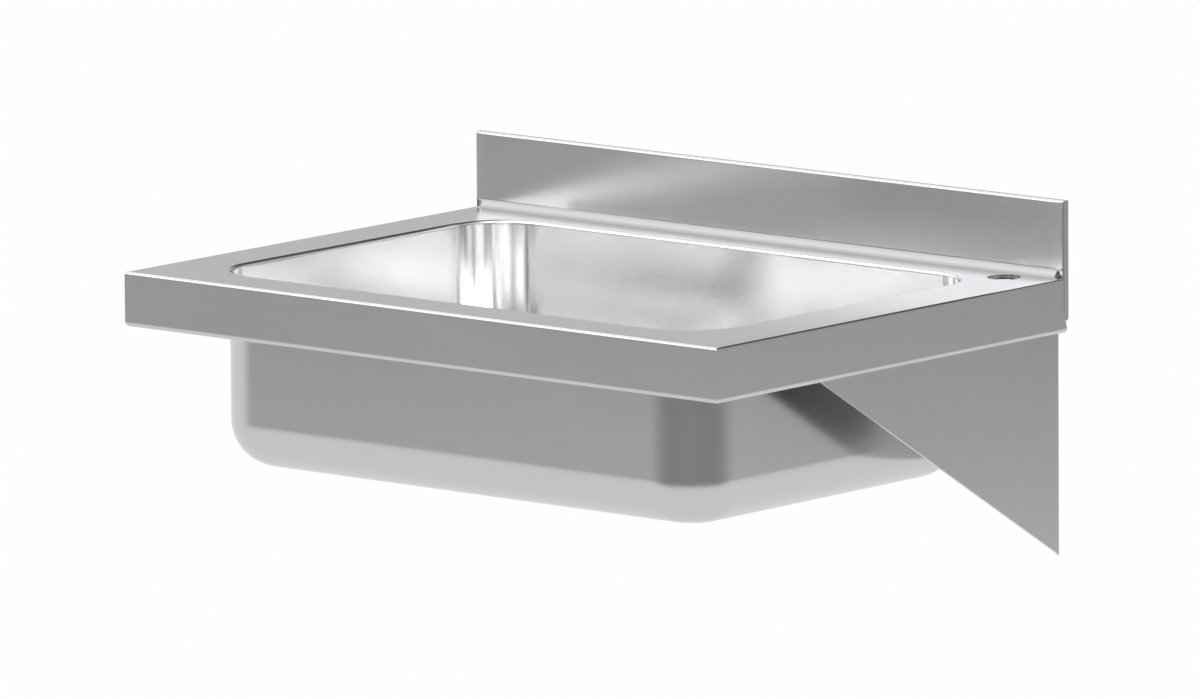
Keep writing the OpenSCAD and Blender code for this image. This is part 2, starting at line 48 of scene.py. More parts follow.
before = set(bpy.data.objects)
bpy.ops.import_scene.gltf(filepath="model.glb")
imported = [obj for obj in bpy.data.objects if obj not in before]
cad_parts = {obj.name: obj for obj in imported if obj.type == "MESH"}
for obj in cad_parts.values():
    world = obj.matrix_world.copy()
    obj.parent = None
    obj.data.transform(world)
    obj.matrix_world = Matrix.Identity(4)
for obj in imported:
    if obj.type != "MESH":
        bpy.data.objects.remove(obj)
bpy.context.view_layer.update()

MM = 0.001
DECK_LOW, DECK_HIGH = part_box("deck")
UPSTAND_LOW, UPSTAND_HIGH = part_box("upstand")
BOWL_LOW, BOWL_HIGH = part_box("bowl")
WASTE_LOW, WASTE_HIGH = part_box("waste_body")
TOP_Z = DECK_HIGH.z
AXIS = (WASTE_LOW.x + WASTE_HIGH.x) / 2, (WASTE_LOW.y + WASTE_HIGH.y) / 2


# Sizes and finishes that a user would change


def number(name, description, default, low, high, **kind):
    """A property for a number between two limits."""
    return FloatProperty(
        name=name, description=description, default=default, min=low, max=high, **kind
    )


def length(name, description, default, high):
    """A property for a length that can't fall to nothing."""
    return number(name, description, default, 0.0001, high, subtype="DISTANCE", precision=4)


def position(name, description, default):
    """A property for a place along one axis."""
    return number(name, description, default, -0.5, 0.5, subtype="DISTANCE", precision=4)


def share(name, description, default):
    """A property for a number between nothing and all."""
    return number(name, description, default, 0.0, 1.0, subtype="FACTOR")


def brightness(name, description, default):
    """A property for what a softbox adds to the studio's walls."""
    return number(name, description, default, 0.0, 6.0)


def tint(name, description, default):
    """A property for a colour."""
    return FloatVectorProperty(
        name=name, description=description, default=default, min=0.0, max=1.0, subtype="COLOR"
    )


class SinkSheetSizes(bpy.types.PropertyGroup):
    """Folds of the deck and the upstand."""

    sheet: length("Sheet", "Thickness of deck and upstand", 1.2 * MM, 0.003)
    top_fold: length("Top fold", "Outer radius along the top edges", 1.6 * MM, 0.005)
    bottom_fold: length("Bottom fold", "Outer radius along the bottom edges", 3 * MM, 0.006)
    front_return: length("Front return", "Inward return under the front apron", 12 * MM, 0.03)
    side_return: length("Side return", "Inward return under the side aprons", 6 * MM, 0.02)
    cove: length("Cove", "Radius between deck and upstand", 6 * MM, 0.01)
    relief: length("Relief", "Radius of the holes at the rear corners", 2.6 * MM, 0.004)
    tap_x: position("Tap hole across", "Tap hole from the middle of the deck", 215.8 * MM)
    tap_y: position("Tap hole from wall", "Tap hole from the wall plane", -24 * MM)
    tap_radius: length("Tap hole radius", "Radius of the hole for the tap", 11 * MM, 0.02)


class SinkBowlSizes(bpy.types.PropertyGroup):
    """Pressing of the bowl."""

    wall: length("Wall", "Thickness of the pressed bowl", 1 * MM, 0.003)
    rim: length("Rim roll", "Radius of the roll from deck into bowl", 2.5 * MM, 0.01)
    flange: length("Rim flange", "Flat edge that is let into the deck", 7.5 * MM, 0.01)
    corner: length("Corner", "Plan radius of the bowl's corners", 41 * MM, 0.08)
    base: length("Base", "Radius between walls and floor", 30 * MM, 0.04)
    depth: length("Depth", "Depth below the deck", 128 * MM, 0.2)
    dish: length("Dish", "Radius of the cone that falls to the outlet", 48 * MM, 0.08)


class SinkBracketSizes(bpy.types.PropertyGroup):
    """Folded wall brackets and the small sheet parts near them."""

    sheet: length("Sheet", "Thickness of the brackets", 2 * MM, 0.004)
    fold: length("Fold", "Outer radius of the folds", 3 * MM, 0.006)
    toe: length("Toe", "Depth of the slant's line at the wall, from the origin", 83 * MM, 0.15)
    nose: length("Nose", "Height of the blunt front end", 8 * MM, 0.03)
    top_width: length("Top flange", "Width of the flange under the deck", 12 * MM, 0.02)
    hole: length("Fixing hole", "Radius of the wall fixing holes", 4 * MM, 0.006)
    softened: length("Softened edge", "Width of the broken edges", 0.3 * MM, 0.001)


class SinkWasteSizes(bpy.types.PropertyGroup):
    """Waste, back nut and plug."""

    tail: length("Tail", "Radius of the threaded tail", 20.955 * MM, 0.025)
    wall: length("Wall", "Wall of the tail", 3 * MM, 0.005)
    pitch: length("Pitch", "Rise of the thread in one turn", 2.309 * MM, 0.004)
    thread: length("Thread depth", "Depth of the thread", 0.75 * MM, 0.001)
    seat: length("Seat", "Height of the coned seat for the plug", 4.5 * MM, 0.008)
    pin: length("Bail wire", "Radius of the bail's wire", 1.2 * MM, 0.002)


class SinkFinishes(bpy.types.PropertyGroup):
    """Colours of the steel, chrome and rubber, and gloss of the steel."""

    steel: tint("Steel", "Colour of the satin steel", (0.602, 0.588, 0.606))
    polished: tint("Polished steel", "Colour of the polished bowl", (0.973, 0.966, 0.976))
    satin: share("Satin", "Roughness of the deck", 0.20)
    polish: share("Polish", "Roughness inside the bowl", 0.14)
    grain: share("Grain", "Strength of the satin grain", 0.22)
    chrome: tint("Chrome", "Colour of the waste and its nut", (0.78, 0.79, 0.81))
    rubber: tint("Rubber", "Colour of the plug", (0.022, 0.022, 0.024))


class StudioSettings(bpy.types.PropertyGroup):
    """Light and ground round the sink."""

    floor_drop: length("Floor drop", "Height of the fixings above the floor", 0.75, 2.0)
    surround: share("Sides", "Brightness of the studio at the sides", 0.43)
    left: share("Left", "Brightness of the studio at the left", 0.92)
    front: share("Front", "Brightness of the studio at the front right", 0.3)
    back: share("Back", "Brightness of the studio behind the sink", 0.58)
    walls: share("Walls", "Brightness of the studio's walls and ceiling", 0.58)
    rear_softbox: brightness("Rear softbox", "Softbox high behind the sink's left end", 2.0)
    front_softbox: brightness("Front softbox", "Wide softbox high in front of the sink", 1.1)
    low_softbox: brightness("Low softbox", "Softbox beside the camera", 1.1)
    right_softbox: brightness("Right softbox", "Softbox high at the right", 2.2)
    left_softbox: brightness("Left softbox", "Wide softbox at the left", 0.65)
    small_softbox: brightness("Small softbox", "Small softbox at the front left", 1.5)
    high_softbox: brightness("High softbox", "Softbox high at the left", 0.3)
    brightest: brightness("Brightest", "What no part of the studio exceeds", 2.4)
    rear_shade: share("Rear shade", "What the dark wall behind the sink takes away", 0.48)
    floor_back: share("Floor behind", "Brightness of the floor far behind the sink", 0.85)
    top_light: number("Top light", "Power of the soft light above", 10.0, 0.0, 100.0, unit="POWER")


# Grids and profiles


def points(*parts):
    """Coordinates, as numbers or arrays, brought to one shape and set side by side."""
    return np.stack(np.broadcast_arrays(*parts), -1)


def lifted(flat, z):
    """Points seen from above, at a height."""
    return points(flat[..., 0], flat[..., 1], z)


def unit(vectors):
    """The same directions, at length one."""
    return vectors / np.linalg.norm(vectors, axis=-1, keepdims=True)


def arc(middle, radius, start, end, steps):
    """Points on a circle: the middle plus the radius times cosine and sine of an angle that
    runs evenly from start to end, in degrees."""
    angle = np.radians(np.linspace(start, end, steps + 1))
    return points(middle[0] + radius * np.cos(angle), middle[1] + radius * np.sin(angle))


def eased(start, end, steps, ease=0.4 * MM):
    """Even steps from start to end, with one more close to each end, which holds the
    shading of the flat face away from the fold beside it."""
    hold = math.copysign(ease, end - start)
    return np.r_[start, np.linspace(start + hold, end - hold, steps), end]


def rays(fence, middle, radius, spread):
    """Lines from a circle round the middle straight out to each point of a fence, as rows
    at shares of the way. The first row lies on the circle."""
    edge = middle + unit(fence - middle) * radius
    return edge + (fence - edge) * np.array(spread)[:, None, None]


def round_hole(block, middle, radius):
    """A flat block of a grid with a round hole: rays from the hole to the block's edge."""
    fence = np.concatenate([block[0], block[1:, -1], block[-1, -2::-1], block[-2:0:-1, 0]])
    return rays(fence, middle, radius, [0.0, 0.06, 0.35, 0.7, 1.0])


def rounded(corners, radii, steps=6):
    """An open profile whose corners are rounded. An arc touches the lines on both sides of
    its corner: it starts and ends the radius over the tangent of half the corner's angle
    away. One more point beyond each end holds the shading of the flat face there."""
    corners = np.asarray(corners, float)
    runs = [corners[:1]]
    for before, corner, after, radius in zip(corners[:-2], corners[1:-1], corners[2:], radii):
        if radius == 0:
            runs.append(corner[None])
            continue
        back, on = unit(before - corner), unit(after - corner)
        half = math.acos(np.clip(back @ on, -1, 1)) / 2
        reach, hold = radius / math.tan(half), 0.15 * radius
        middle = corner + unit(back + on) * radius / math.sin(half)
        first, last = corner + back * reach - middle, corner + on * reach - middle
        turn = math.atan2(first[0] * last[1] - first[1] * last[0], first @ last)
        angle = np.linspace(0, turn, steps + 1)[:, None]
        square = np.array([-first[1], first[0]])
        runs.append(corner[None] + back * (reach + hold))
        runs.append(middle + np.cos(angle) * first + np.sin(angle) * square)
        runs.append(corner[None] + on * (reach + hold))
    return np.vstack([*runs, corners[-1:]])


def spaced(loop, count):
    """A closed loop as evenly spaced points, by length along it."""
    closed = np.vstack([loop, loop[:1]])
    along = np.r_[0, np.cumsum(np.linalg.norm(np.diff(closed, axis=0), axis=1))]
    at = np.linspace(0, along[-1], count, endpoint=False)
    return points(*[np.interp(at, along, values) for values in closed.T])


def lathe(profile, steps=96, cut=0.0):
    """A profile of radius and height turned about the waste's upright axis: X and Y are the
    axis plus the radius, less a cut that may change with row and turn, times cosine and
    sine."""
    turn = np.linspace(0, 2 * math.pi, steps, endpoint=False)
    radius = profile[:, :1] - cut
    return points(AXIS[0] + radius * np.cos(turn), AXIS[1] + radius * np.sin(turn), profile[:, 1:])


def tube(path, radius, steps=24):
    """A round wire along a level path: its ring stands across the path, spanned by the
    upright and the level line square to the path."""
    along = unit(np.gradient(path, axis=0))
    across = points(-along[:, 1], along[:, 0], 0.0)
    turn = np.linspace(0, 2 * math.pi, steps, endpoint=False)[None, :, None]
    ring = np.cos(turn) * across[:, None] + np.sin(turn) * np.array([0.0, 0.0, 1.0])
    return path[:, None] + radius[:, None, None] * ring


class Shell:
    """Grids of points that are welded into one closed surface."""

    def __init__(self):
        self.points = []
        self.faces = []
        self.marks = []
        self.count = 0

    def add(self, grid, wrap_rows=False, wrap_cols=False, mark=0.0):
        """Adds a grid of rows by columns by three. A wrapped direction joins its last line
        to its first. The mark is one value, or one for each point, kept as an attribute."""
        rows, cols = grid.shape[:2]
        row = np.arange(rows if wrap_rows else rows - 1)
        col = np.arange(cols if wrap_cols else cols - 1)
        a, b = np.meshgrid(row, col, indexing="ij")
        a_next, b_next = (a + 1) % rows, (b + 1) % cols
        corners = [a * cols + b, a_next * cols + b, a_next * cols + b_next, a * cols + b_next]
        self.faces.append(np.stack(corners, -1).reshape(-1, 4) + self.count)
        self.points.append(grid.reshape(-1, 3))
        self.marks.append(np.broadcast_to(np.asarray(mark, float), (rows, cols)).ravel())
        self.count += rows * cols

    def strip(self, first, second, wrap=False):
        """Joins two lines of matching points."""
        self.add(np.stack([first, second]), wrap_cols=wrap)

    def wall(self, line, heights, wrap=False):
        """An upright wall on a line seen from above."""
        self.strip(*[lifted(line, z) for z in heights], wrap)

    def mesh(self, name):
        """Welds points that meet and drops what shrank to a line."""
        spots = np.vstack(self.points)
        keys = np.round(spots / (0.002 * MM)).astype(np.int64)
        _, first, back = np.unique(keys, axis=0, return_index=True, return_inverse=True)
        faces = back.ravel()[np.vstack(self.faces)]
        kept = faces != np.roll(faces, -1, axis=1)
        whole = (kept.sum(1) >= 3) & (faces[:, 0] != faces[:, 2]) & (faces[:, 1] != faces[:, 3])
        kept, faces = kept[whole], faces[whole]
        total = kept.sum(1)
        mesh = bpy.data.meshes.new(name)
        mesh.vertices.add(len(first))
        mesh.vertices.foreach_set("co", spots[first].astype(np.float32).ravel())
        mesh.loops.add(int(total.sum()))
        mesh.loops.foreach_set("vertex_index", faces[kept].astype(np.int32))
        mesh.polygons.add(len(faces))
        mesh.polygons.foreach_set("loop_start", np.r_[0, np.cumsum(total)[:-1]].astype(np.int32))
        mesh.polygons.foreach_set("loop_total", total.astype(np.int32))
        mesh.update(calc_edges=True)
        mesh.validate()
        attribute = mesh.attributes.new("finish", "FLOAT", "POINT")
        attribute.data.foreach_set("value", np.concatenate(self.marks)[first].astype(np.float32))
        return mesh

    def piece(self, name, body, slot, node, material, sharp=32.0):
        """The closed surface, facing outwards and smooth up to an angle, as the object that
        rides on its body in place of its CAD node."""
        mesh = self.mesh(name)
        outward(mesh)
        mesh.polygons.foreach_set("use_smooth", np.ones(len(mesh.polygons), bool))
        mesh.set_sharp_from_angle(angle=math.radians(sharp))
        mesh.materials.append(material)
        piece = linked(name, mesh)
        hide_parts(node)
        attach(piece, body)
        return piece


def outward(mesh):
    """Turns the faces of each closed surface outwards."""
    loose = bmesh.new()
    loose.from_mesh(mesh)
    bmesh.ops.recalc_face_normals(loose, faces=loose.faces)
    if loose.calc_volume(signed=True) < 0:
        bmesh.ops.reverse_faces(loose, faces=loose.faces)
    loose.to_mesh(mesh)
    loose.free()


def soften(piece, width):
    """Breaks the sharp edges of a piece by a narrow round."""
    bevel = piece.modifiers.new("softened edges", "BEVEL")
    bevel.width = width
    bevel.segments = 2
    bevel.limit_method = "ANGLE"
    bevel.angle_limit = math.radians(50)
    bevel.harden_normals = True


# Shader steps


def feed(tree, inputs, sockets):
    """Sets each named input to a value, or links the output that is given for it."""
    for key, value in sockets.items():
        if isinstance(value, bpy.types.NodeSocket):
            tree.links.new(value, inputs[key])
        else:
            inputs[key].default_value = value


def put(tree, kind, sockets=None, **settings):
    """Adds a node. The settings are its own options, and the sockets hold values or the
    outputs that feed them."""
    node = tree.nodes.new(kind)
    for key, value in settings.items():
        setattr(node, key, value)
    feed(tree, node.inputs, sockets or {})
    return node


def maths(tree, operation, *values, clamp=False):
    """One arithmetic step on values or outputs."""
    sockets = dict(enumerate(values))
    return put(tree, "ShaderNodeMath", sockets, operation=operation, use_clamp=clamp).outputs[0]


def scaled(tree, value, factor, base, clamp=False):
    """A value times a factor, plus a base."""
    return maths(tree, "MULTIPLY_ADD", value, factor, base, clamp=clamp)


def towards(tree, start, end, amount):
    """Goes from one level to another by an amount."""
    return scaled(tree, amount, maths(tree, "SUBTRACT", end, start), start)


def vector(tree, operation, *values, output="Vector"):
    """One step on vectors."""
    node = put(tree, "ShaderNodeVectorMath", dict(enumerate(values)), operation=operation)
    return node.outputs[output]


def facing(tree, direction, axis):
    """How far a direction goes along an axis: one straight along it, nothing across it."""
    return vector(tree, "DOT_PRODUCT", direction, axis, output="Value")


def remap(tree, value, low, high, to_low, to_high):
    """Carries a range of values to another one, softly at both ends."""
    names = "Value", "From Min", "From Max", "To Min", "To Max"
    sockets = dict(zip(names, (value, low, high, to_low, to_high)))
    return put(tree, "ShaderNodeMapRange", sockets, interpolation_type="SMOOTHSTEP").outputs[0]


def noise(tree, place, scale, detail, distortion=0.0):
    """Soft noise at a place."""
    sockets = {"Vector": place, "Scale": scale, "Detail": detail, "Distortion": distortion}
    return put(tree, "ShaderNodeTexNoise", sockets).outputs[0]


def blend(tree, amount, first, second):
    """Goes from one colour to another."""
    return put(tree, "ShaderNodeMix", {0: amount, 6: first, 7: second}, data_type="RGBA").outputs[2]


def mix(tree, amount, first, second):
    """Goes from one shader to another."""
    return put(tree, "ShaderNodeMixShader", {0: amount, 1: first, 2: second}).outputs[0]


def glow(tree, kind, strength):
    """White light of a strength, from a surface or from the background."""
    sockets = {"Color": (1.0, 1.0, 1.0, 1.0), "Strength": strength}
    return put(tree, "ShaderNode" + kind, sockets).outputs[0]


def ray_is(tree, kind):
    """One where the ray is of this kind, and nothing elsewhere."""
    return tree.nodes.new("ShaderNodeLightPath").outputs["Is %s Ray" % kind]


def rgba(colour, factor=1.0):
    """A colour as the four numbers that a socket takes."""
    return (*[min(1.0, channel * factor) for channel in colour], 1.0)


# Shader groups shared by the finishes and the studio

LEVEL_PART = (1.0, 1.0, 0.0)


def group(name, inputs, outputs):
    """An empty shader group with named inputs and outputs, and its two end nodes."""
    tree = bpy.data.node_groups.new(name, "ShaderNodeTree")
    for label, default in inputs.items():
        kind = "NodeSocketVector" if default is None else "NodeSocketFloat"
        socket = tree.interface.new_socket(label, in_out="INPUT", socket_type=kind)
        if default is not None:
            socket.default_value = default
    for label in outputs:
        tree.interface.new_socket(label, in_out="OUTPUT", socket_type="NodeSocketFloat")
    return tree, tree.nodes.new("NodeGroupInput").outputs, tree.nodes.new("NodeGroupOutput").inputs


def satin_grain(name):
    """Fine scratches along one direction: noise stretched some hundred times along X, in a
    fine and a coarse width, as a level above and below nothing."""
    inputs = {"Place": None, "Width": 1.0, "Strength": 0.5}
    tree, given, out = group(name, inputs, ["Level"])
    fine, coarse = [
        noise(tree, vector(tree, "MULTIPLY", given["Place"], stretch), given["Width"], detail)
        for stretch, detail in (((14.0, 2600.0, 2600.0), 3.0), ((5.0, 420.0, 420.0), 2.0))
    ]
    both = scaled(tree, fine, 0.65, scaled(tree, coarse, 0.35, -0.5))
    feed(tree, out, {"Level": maths(tree, "MULTIPLY", both, given["Strength"])})
    return tree


def handled_surface(name):
    """What use leaves on steel: broad faint clouds where it was wiped, and a few specks."""
    inputs = {"Place": None, "Amount": 0.5}
    tree, given, out = group(name, inputs, ["Cloud", "Speck"])
    cloud = maths(tree, "SUBTRACT", noise(tree, given["Place"], 9.0, 4.0, 0.6), 0.5)
    spots = put(tree, "ShaderNodeTexVoronoi", {"Vector": given["Place"], "Scale": 60.0}).outputs[0]
    speck = remap(tree, spots, 0.02, 0.07, 1.0, 0.0)
    for label, value in (("Cloud", cloud), ("Speck", speck)):
        feed(tree, out, {label: maths(tree, "MULTIPLY", value, given["Amount"])})
    return tree


def pressed_waves(name):
    """The slight unevenness of rolled and pressed sheet, a height in broad soft waves."""
    tree, given, out = group(name, {"Place": None, "Size": 8.0}, ["Height"])
    feed(tree, out, {"Height": noise(tree, given["Place"], given["Size"], 1.0)})
    return tree


def studio_surround(name):
    """How bright the studio stands at floor level in a direction: pale straight behind the
    sink, plain grey at its sides, and darkest where the room is open at the front right."""
    inputs = {"Direction": None, "Side": 0.46, "Left": 0.9, "Front": 0.3, "Back": 0.75}
    tree, given, out = group(name, inputs, ["Level", "Open"])
    flat = vector(tree, "NORMALIZE", vector(tree, "MULTIPLY", given["Direction"], LEVEL_PART))
    behind = facing(tree, flat, (-0.646, 0.763, 0.0))
    dark = remap(tree, behind, -0.85, -0.25, 0.0, 1.0)
    pale = remap(tree, behind, 0.25, 0.8, 0.0, 1.0)
    left = remap(tree, facing(tree, flat, (-0.996, 0.087, 0.0)), 0.6, 0.92, 0.0, 1.0)
    level = towards(tree, given["Front"], given["Side"], dark)
    level = towards(tree, level, given["Back"], pale)
    feed(tree, out, {"Level": towards(tree, level, given["Left"], left), "Open": dark})
    return tree


SHADER_GROUPS = {
    "satin grain": satin_grain,
    "handled surface": handled_surface,
    "pressed waves": pressed_waves,
    "studio surround": studio_surround,
}


def use(tree, name, **sockets):
    """Puts in a shader group, which is made where it's first used."""
    made = bpy.data.node_groups.get(name) or SHADER_GROUPS[name](name)
    return put(tree, "ShaderNodeGroup", sockets, node_tree=made).outputs


# Finishes


def surface(name):
    """A new material with its node tree, its shader's inputs and the place on the object."""
    material = bpy.data.materials.new(name)
    material.use_nodes = True
    tree = material.node_tree
    where = tree.nodes.new("ShaderNodeTexCoord").outputs["Object"]
    return material, tree, tree.nodes["Principled BSDF"].inputs, where


def bump(tree, height, distance, **normal):
    """Bends the shading by a height, over another bent normal if there is one."""
    sockets = {"Height": height, "Distance": distance, "Strength": 1.0, **normal}
    return put(tree, "ShaderNodeBump", sockets).outputs[0]


def satin_steel(name, look, grain_width=1.0, tone_factor=1.0, turn=(0.0, 0.0, 0.0)):
    """Satin steel with grain along X, or along another line where it is turned. Where the
    finish attribute is one, as in the upstand's cove, the steel is rougher, and darker as painted
    shade."""
    if name in bpy.data.materials:
        return bpy.data.materials[name]
    material, tree, shader, where = surface(name)
    where = put(tree, "ShaderNodeMapping", {"Vector": where, "Rotation": turn}).outputs[0]
    grain = use(tree, "satin grain", Place=where, Width=grain_width, Strength=look.grain)[0]
    cloud = use(tree, "handled surface", Place=where, Amount=0.5)["Cloud"]
    waves = use(tree, "pressed waves", Place=where, Size=5.0)[0]
    rough_shaded_cove = put(tree, "ShaderNodeAttribute", attribute_name="finish").outputs["Fac"]
    # Painted shade: where the finish attribute is one the base colour turns darker, besides the
    # real extra roughness
    gloss = scaled(tree, rough_shaded_cove, 0.4, scaled(tree, grain, 0.35, look.satin))
    tone = scaled(tree, cloud, 0.25, scaled(tree, grain, 0.9, 0.5), clamp=True)
    # The dull tone is painted shade, a little darker, used where the finish attribute is one
    plain, dull = [
        blend(tree, tone, *[rgba(look.steel, level * tone_factor) for level in levels])
        for levels in ((0.93, 1.07), (0.78, 0.9))
    ]
    finish = {
        "Metallic": 1.0,
        "Roughness": scaled(tree, cloud, 0.10, gloss, clamp=True),
        "Base Color": blend(tree, rough_shaded_cove, plain, dull),
        "Normal": bump(tree, grain, 0.02 * MM, Normal=bump(tree, waves, 0.1 * MM)),
    }
    feed(tree, shader, finish)
    return material


def mill_steel(look):
    """The brackets' steel, a little duller than the deck's, with grain along the slant."""
    return satin_steel("bracket steel", look, 0.7, 0.97, (0.0, math.radians(58), 0.0))


def bowl_steel(look):
    """Polished steel where the finish attribute is one, satin where it is nothing."""
    material, tree, shader, where = surface("bowl steel")
    polished = put(tree, "ShaderNodeAttribute", attribute_name="finish").outputs["Fac"]
    grain = use(tree, "satin grain", Place=where, Width=0.8, Strength=look.grain)[0]
    cloud = use(tree, "handled surface", Place=where, Amount=0.6)["Cloud"]
    waves = use(tree, "pressed waves", Place=where, Size=11.0)[0]
    dull = scaled(tree, grain, 0.35, look.satin)
    bright = scaled(tree, cloud, 0.16, look.polish)
    tone = scaled(tree, cloud, 0.5, 0.5, clamp=True)
    plain = blend(tree, tone, rgba(look.steel, 0.94), rgba(look.steel, 1.06))
    shiny = blend(tree, tone, rgba(look.polished, 0.96), rgba(look.polished, 1.04))
    outside = maths(tree, "MULTIPLY", grain, maths(tree, "SUBTRACT", 1.0, polished))
    finish = {
        "Metallic": 1.0,
        "Roughness": towards(tree, dull, bright, polished),
        "Base Color": blend(tree, polished, plain, shiny),
        "Normal": bump(tree, outside, 0.02 * MM, Normal=bump(tree, waves, 0.12 * MM)),
    }
    feed(tree, shader, finish)
    return material


def chrome_plate(look):
    """Chrome plate with faint wiping marks."""
    if "chrome plate" in bpy.data.materials:
        return bpy.data.materials["chrome plate"]
    material, tree, shader, where = surface("chrome plate")
    marks = use(tree, "handled surface", Place=where, Amount=0.8)
    finish = {
        "Metallic": 1.0,
        "Roughness": scaled(tree, marks["Cloud"], 0.14, 0.09, clamp=True),
        "Base Color": blend(tree, marks["Speck"], rgba(look.chrome), rgba(look.chrome, 0.82)),
        "Normal": bump(tree, use(tree, "pressed waves", Place=where, Size=60.0)[0], 0.03 * MM),
    }
    feed(tree, shader, finish)
    return material


def moulded(name, colour, roughness, pore, pore_depth):
    """Rubber or plastic with a fine moulded skin and faint dust in its pores."""
    material, tree, shader, where = surface(name)
    pores = noise(tree, where, pore, 5.0)
    cloud = use(tree, "handled surface", Place=where, Amount=0.7)["Cloud"]
    shade = scaled(tree, pores, 0.6, cloud, clamp=True)
    finish = {
        "Base Color": blend(tree, shade, rgba(colour, 0.85), rgba(colour, 1.25)),
        "Roughness": scaled(tree, cloud, 0.3, roughness, clamp=True),
        "Normal": bump(tree, pores, pore_depth),
    }
    feed(tree, shader, finish)
    return material


# The folded deck and upstand

# Rear edges of the side aprons, stepped round the upstand, and lower ends of the upstand's
# side returns, narrowed towards their tips: depths, and where the sheet ends there
APRON_ENDS = np.array([[24, 28], [-5, -1.5]]) * MM
RETURN_ENDS = np.array([[0, 3.4, 5], [76, 72, 73.6]]) * MM


def away(values, low, high):
    """One at the low edge, minus one at the high edge, and nothing between."""
    return 1.0 * np.isclose(values, low) - np.isclose(values, high)


def sheet_profile(sizes, depth, bottom_r=None, returns=()):
    """Outer and inner lines of a sheet folded down at the edge of a panel. Each point is
    its distance in from the outer face, for the side and for the front, and its depth
    below the panel. A fold's inner arc has the angles of its outer arc, a sheet closer."""
    r = sizes.top_fold
    folds = []
    for drop in (0.0, sizes.sheet):
        top = arc((r, r), r - drop, -90, -180, 10)
        if bottom_r is None:
            line = np.vstack([top, points(drop, eased(r, depth, 3)[1:])])
            folds.append(line[:, [0, 0, 1]])
            continue
        low = arc((bottom_r, depth - bottom_r), bottom_r - drop, 180, 90, 10)
        line = np.vstack([top, points(drop, eased(r, depth - bottom_r, 4)[1:-1]), low])
        run = np.linspace(0, 1, 4)[1:]
        ends = [bottom_r + (width - bottom_r) * run for width in returns]
        folds.append(np.vstack([line[:, [0, 0, 1]], points(*ends, depth - drop)]))
    return folds


def folded_frame(shell, sizes, folds, columns, inward, ends, axes):
    """Carries the folded profile round three sides of a panel. A column is a point on the
    panel's edge, and its inward directions carry the profile in from there, so that both
    apply at a mitred corner. The wall of the fold runs on past the panel's first and last
    columns, to the ends that belong to its depths."""
    outer, inner = folds
    side, front, depth = np.vstack([outer, inner[::-1]]).T[:, :, None]
    first = columns[:, 0] + inward[:, 0] * (side - sizes.top_fold)
    second = columns[:, 1] + inward[:, 1] * (front - sizes.top_fold)
    shell.add(axes(first, second, depth))
    split = int(np.argmax(outer[:, 0] < sizes.sheet))
    loop = np.arange(split, 2 * len(outer) - split)
    half = len(loop) // 2
    for at in (0, -1):
        edge, fixed = first[:, at], columns[at, 1]
        cap = axes(edge, fixed, depth[:, 0])
        shell.strip(cap[: split + 1], cap[::-1][: split + 1])
        hs = depth[loop, 0]
        stops = np.interp(hs, *ends)
        along = fixed + (stops[:, None] - fixed) * np.linspace(0, 1, 4)
        shell.add(axes(edge[loop, None], along, hs[:, None]), wrap_rows=True)
        rim = axes(edge[loop], stops, hs)
        shell.strip(rim[:half], rim[half:][::-1])


class BowlLines:
    """Plan of the bowl: a rectangle with round corners that widens or narrows by an offset.

    A point on a straight side keeps its place along the side, and a point on a corner keeps
    its angle, so lines of any offset have matching points. The sides are right, rear, left
    and front."""

    steps = 44

    def __init__(self, sizes):
        low, high = np.array(BOWL_LOW[:2]), np.array(BOWL_HIGH[:2])
        self.middle = (low + high) / 2
        self.half = (high - low) / 2 - (sizes.rim + sizes.flange)
        self.corner = sizes.corner
        self.flat = x, y = self.half - sizes.corner
        ends = ((-y, y, 14), (x, -x, 20), (y, -y, 14), (-x, x, 20))
        self.sides = [np.linspace(*end) for end in ends]

    @staticmethod
    def side(k, edge, run):
        """Points on a side, from where it lies and where they are along it."""
        return points(edge, run) if k % 2 == 0 else points(run, edge)

    def at(self, offset):
        """The line at an offset outwards from the bowl's inner wall."""
        x, y = self.half + offset
        centres = ((1, 1), (-1, 1), (-1, -1), (1, -1))
        runs = []
        for k, (edge, centre) in enumerate(zip((x, y, -x, -y), centres)):
            runs.append(self.side(k, edge, self.sides[k][:-1]))
            bend = arc(centre * self.flat, self.corner + offset, 90 * k, 90 * k + 90, self.steps)
            runs.append(bend[:-1])
        return np.vstack(runs) + self.middle

    def on_rectangle(self, low, high):
        """The matching points on a rectangle: straight across from a straight side, and
        evenly into the corner and out of it from a round one."""
        edges = (high[0], high[1], low[0], low[1])
        part = np.linspace(0, 1, self.steps // 2, endpoint=False)[:, None]
        runs = []
        for k in range(4):
            here, there = edges[k], edges[(k + 1) % 4]
            line = self.side(k, here, self.sides[k] + self.middle[1 - k % 2])
            following = self.sides[(k + 1) % 4][0] + self.middle[k % 2]
            corner, end = self.side(k, here, there), self.side(k + 1, there, following)
            into = line[-1] + (corner - line[-1]) * part
            runs += [line[:-1], into, corner + (end - corner) * part]
        return np.vstack(runs)


# First and last point of the bowl's rear right corner that the tap hole's rays go to
TAP_POINTS = 9, 35


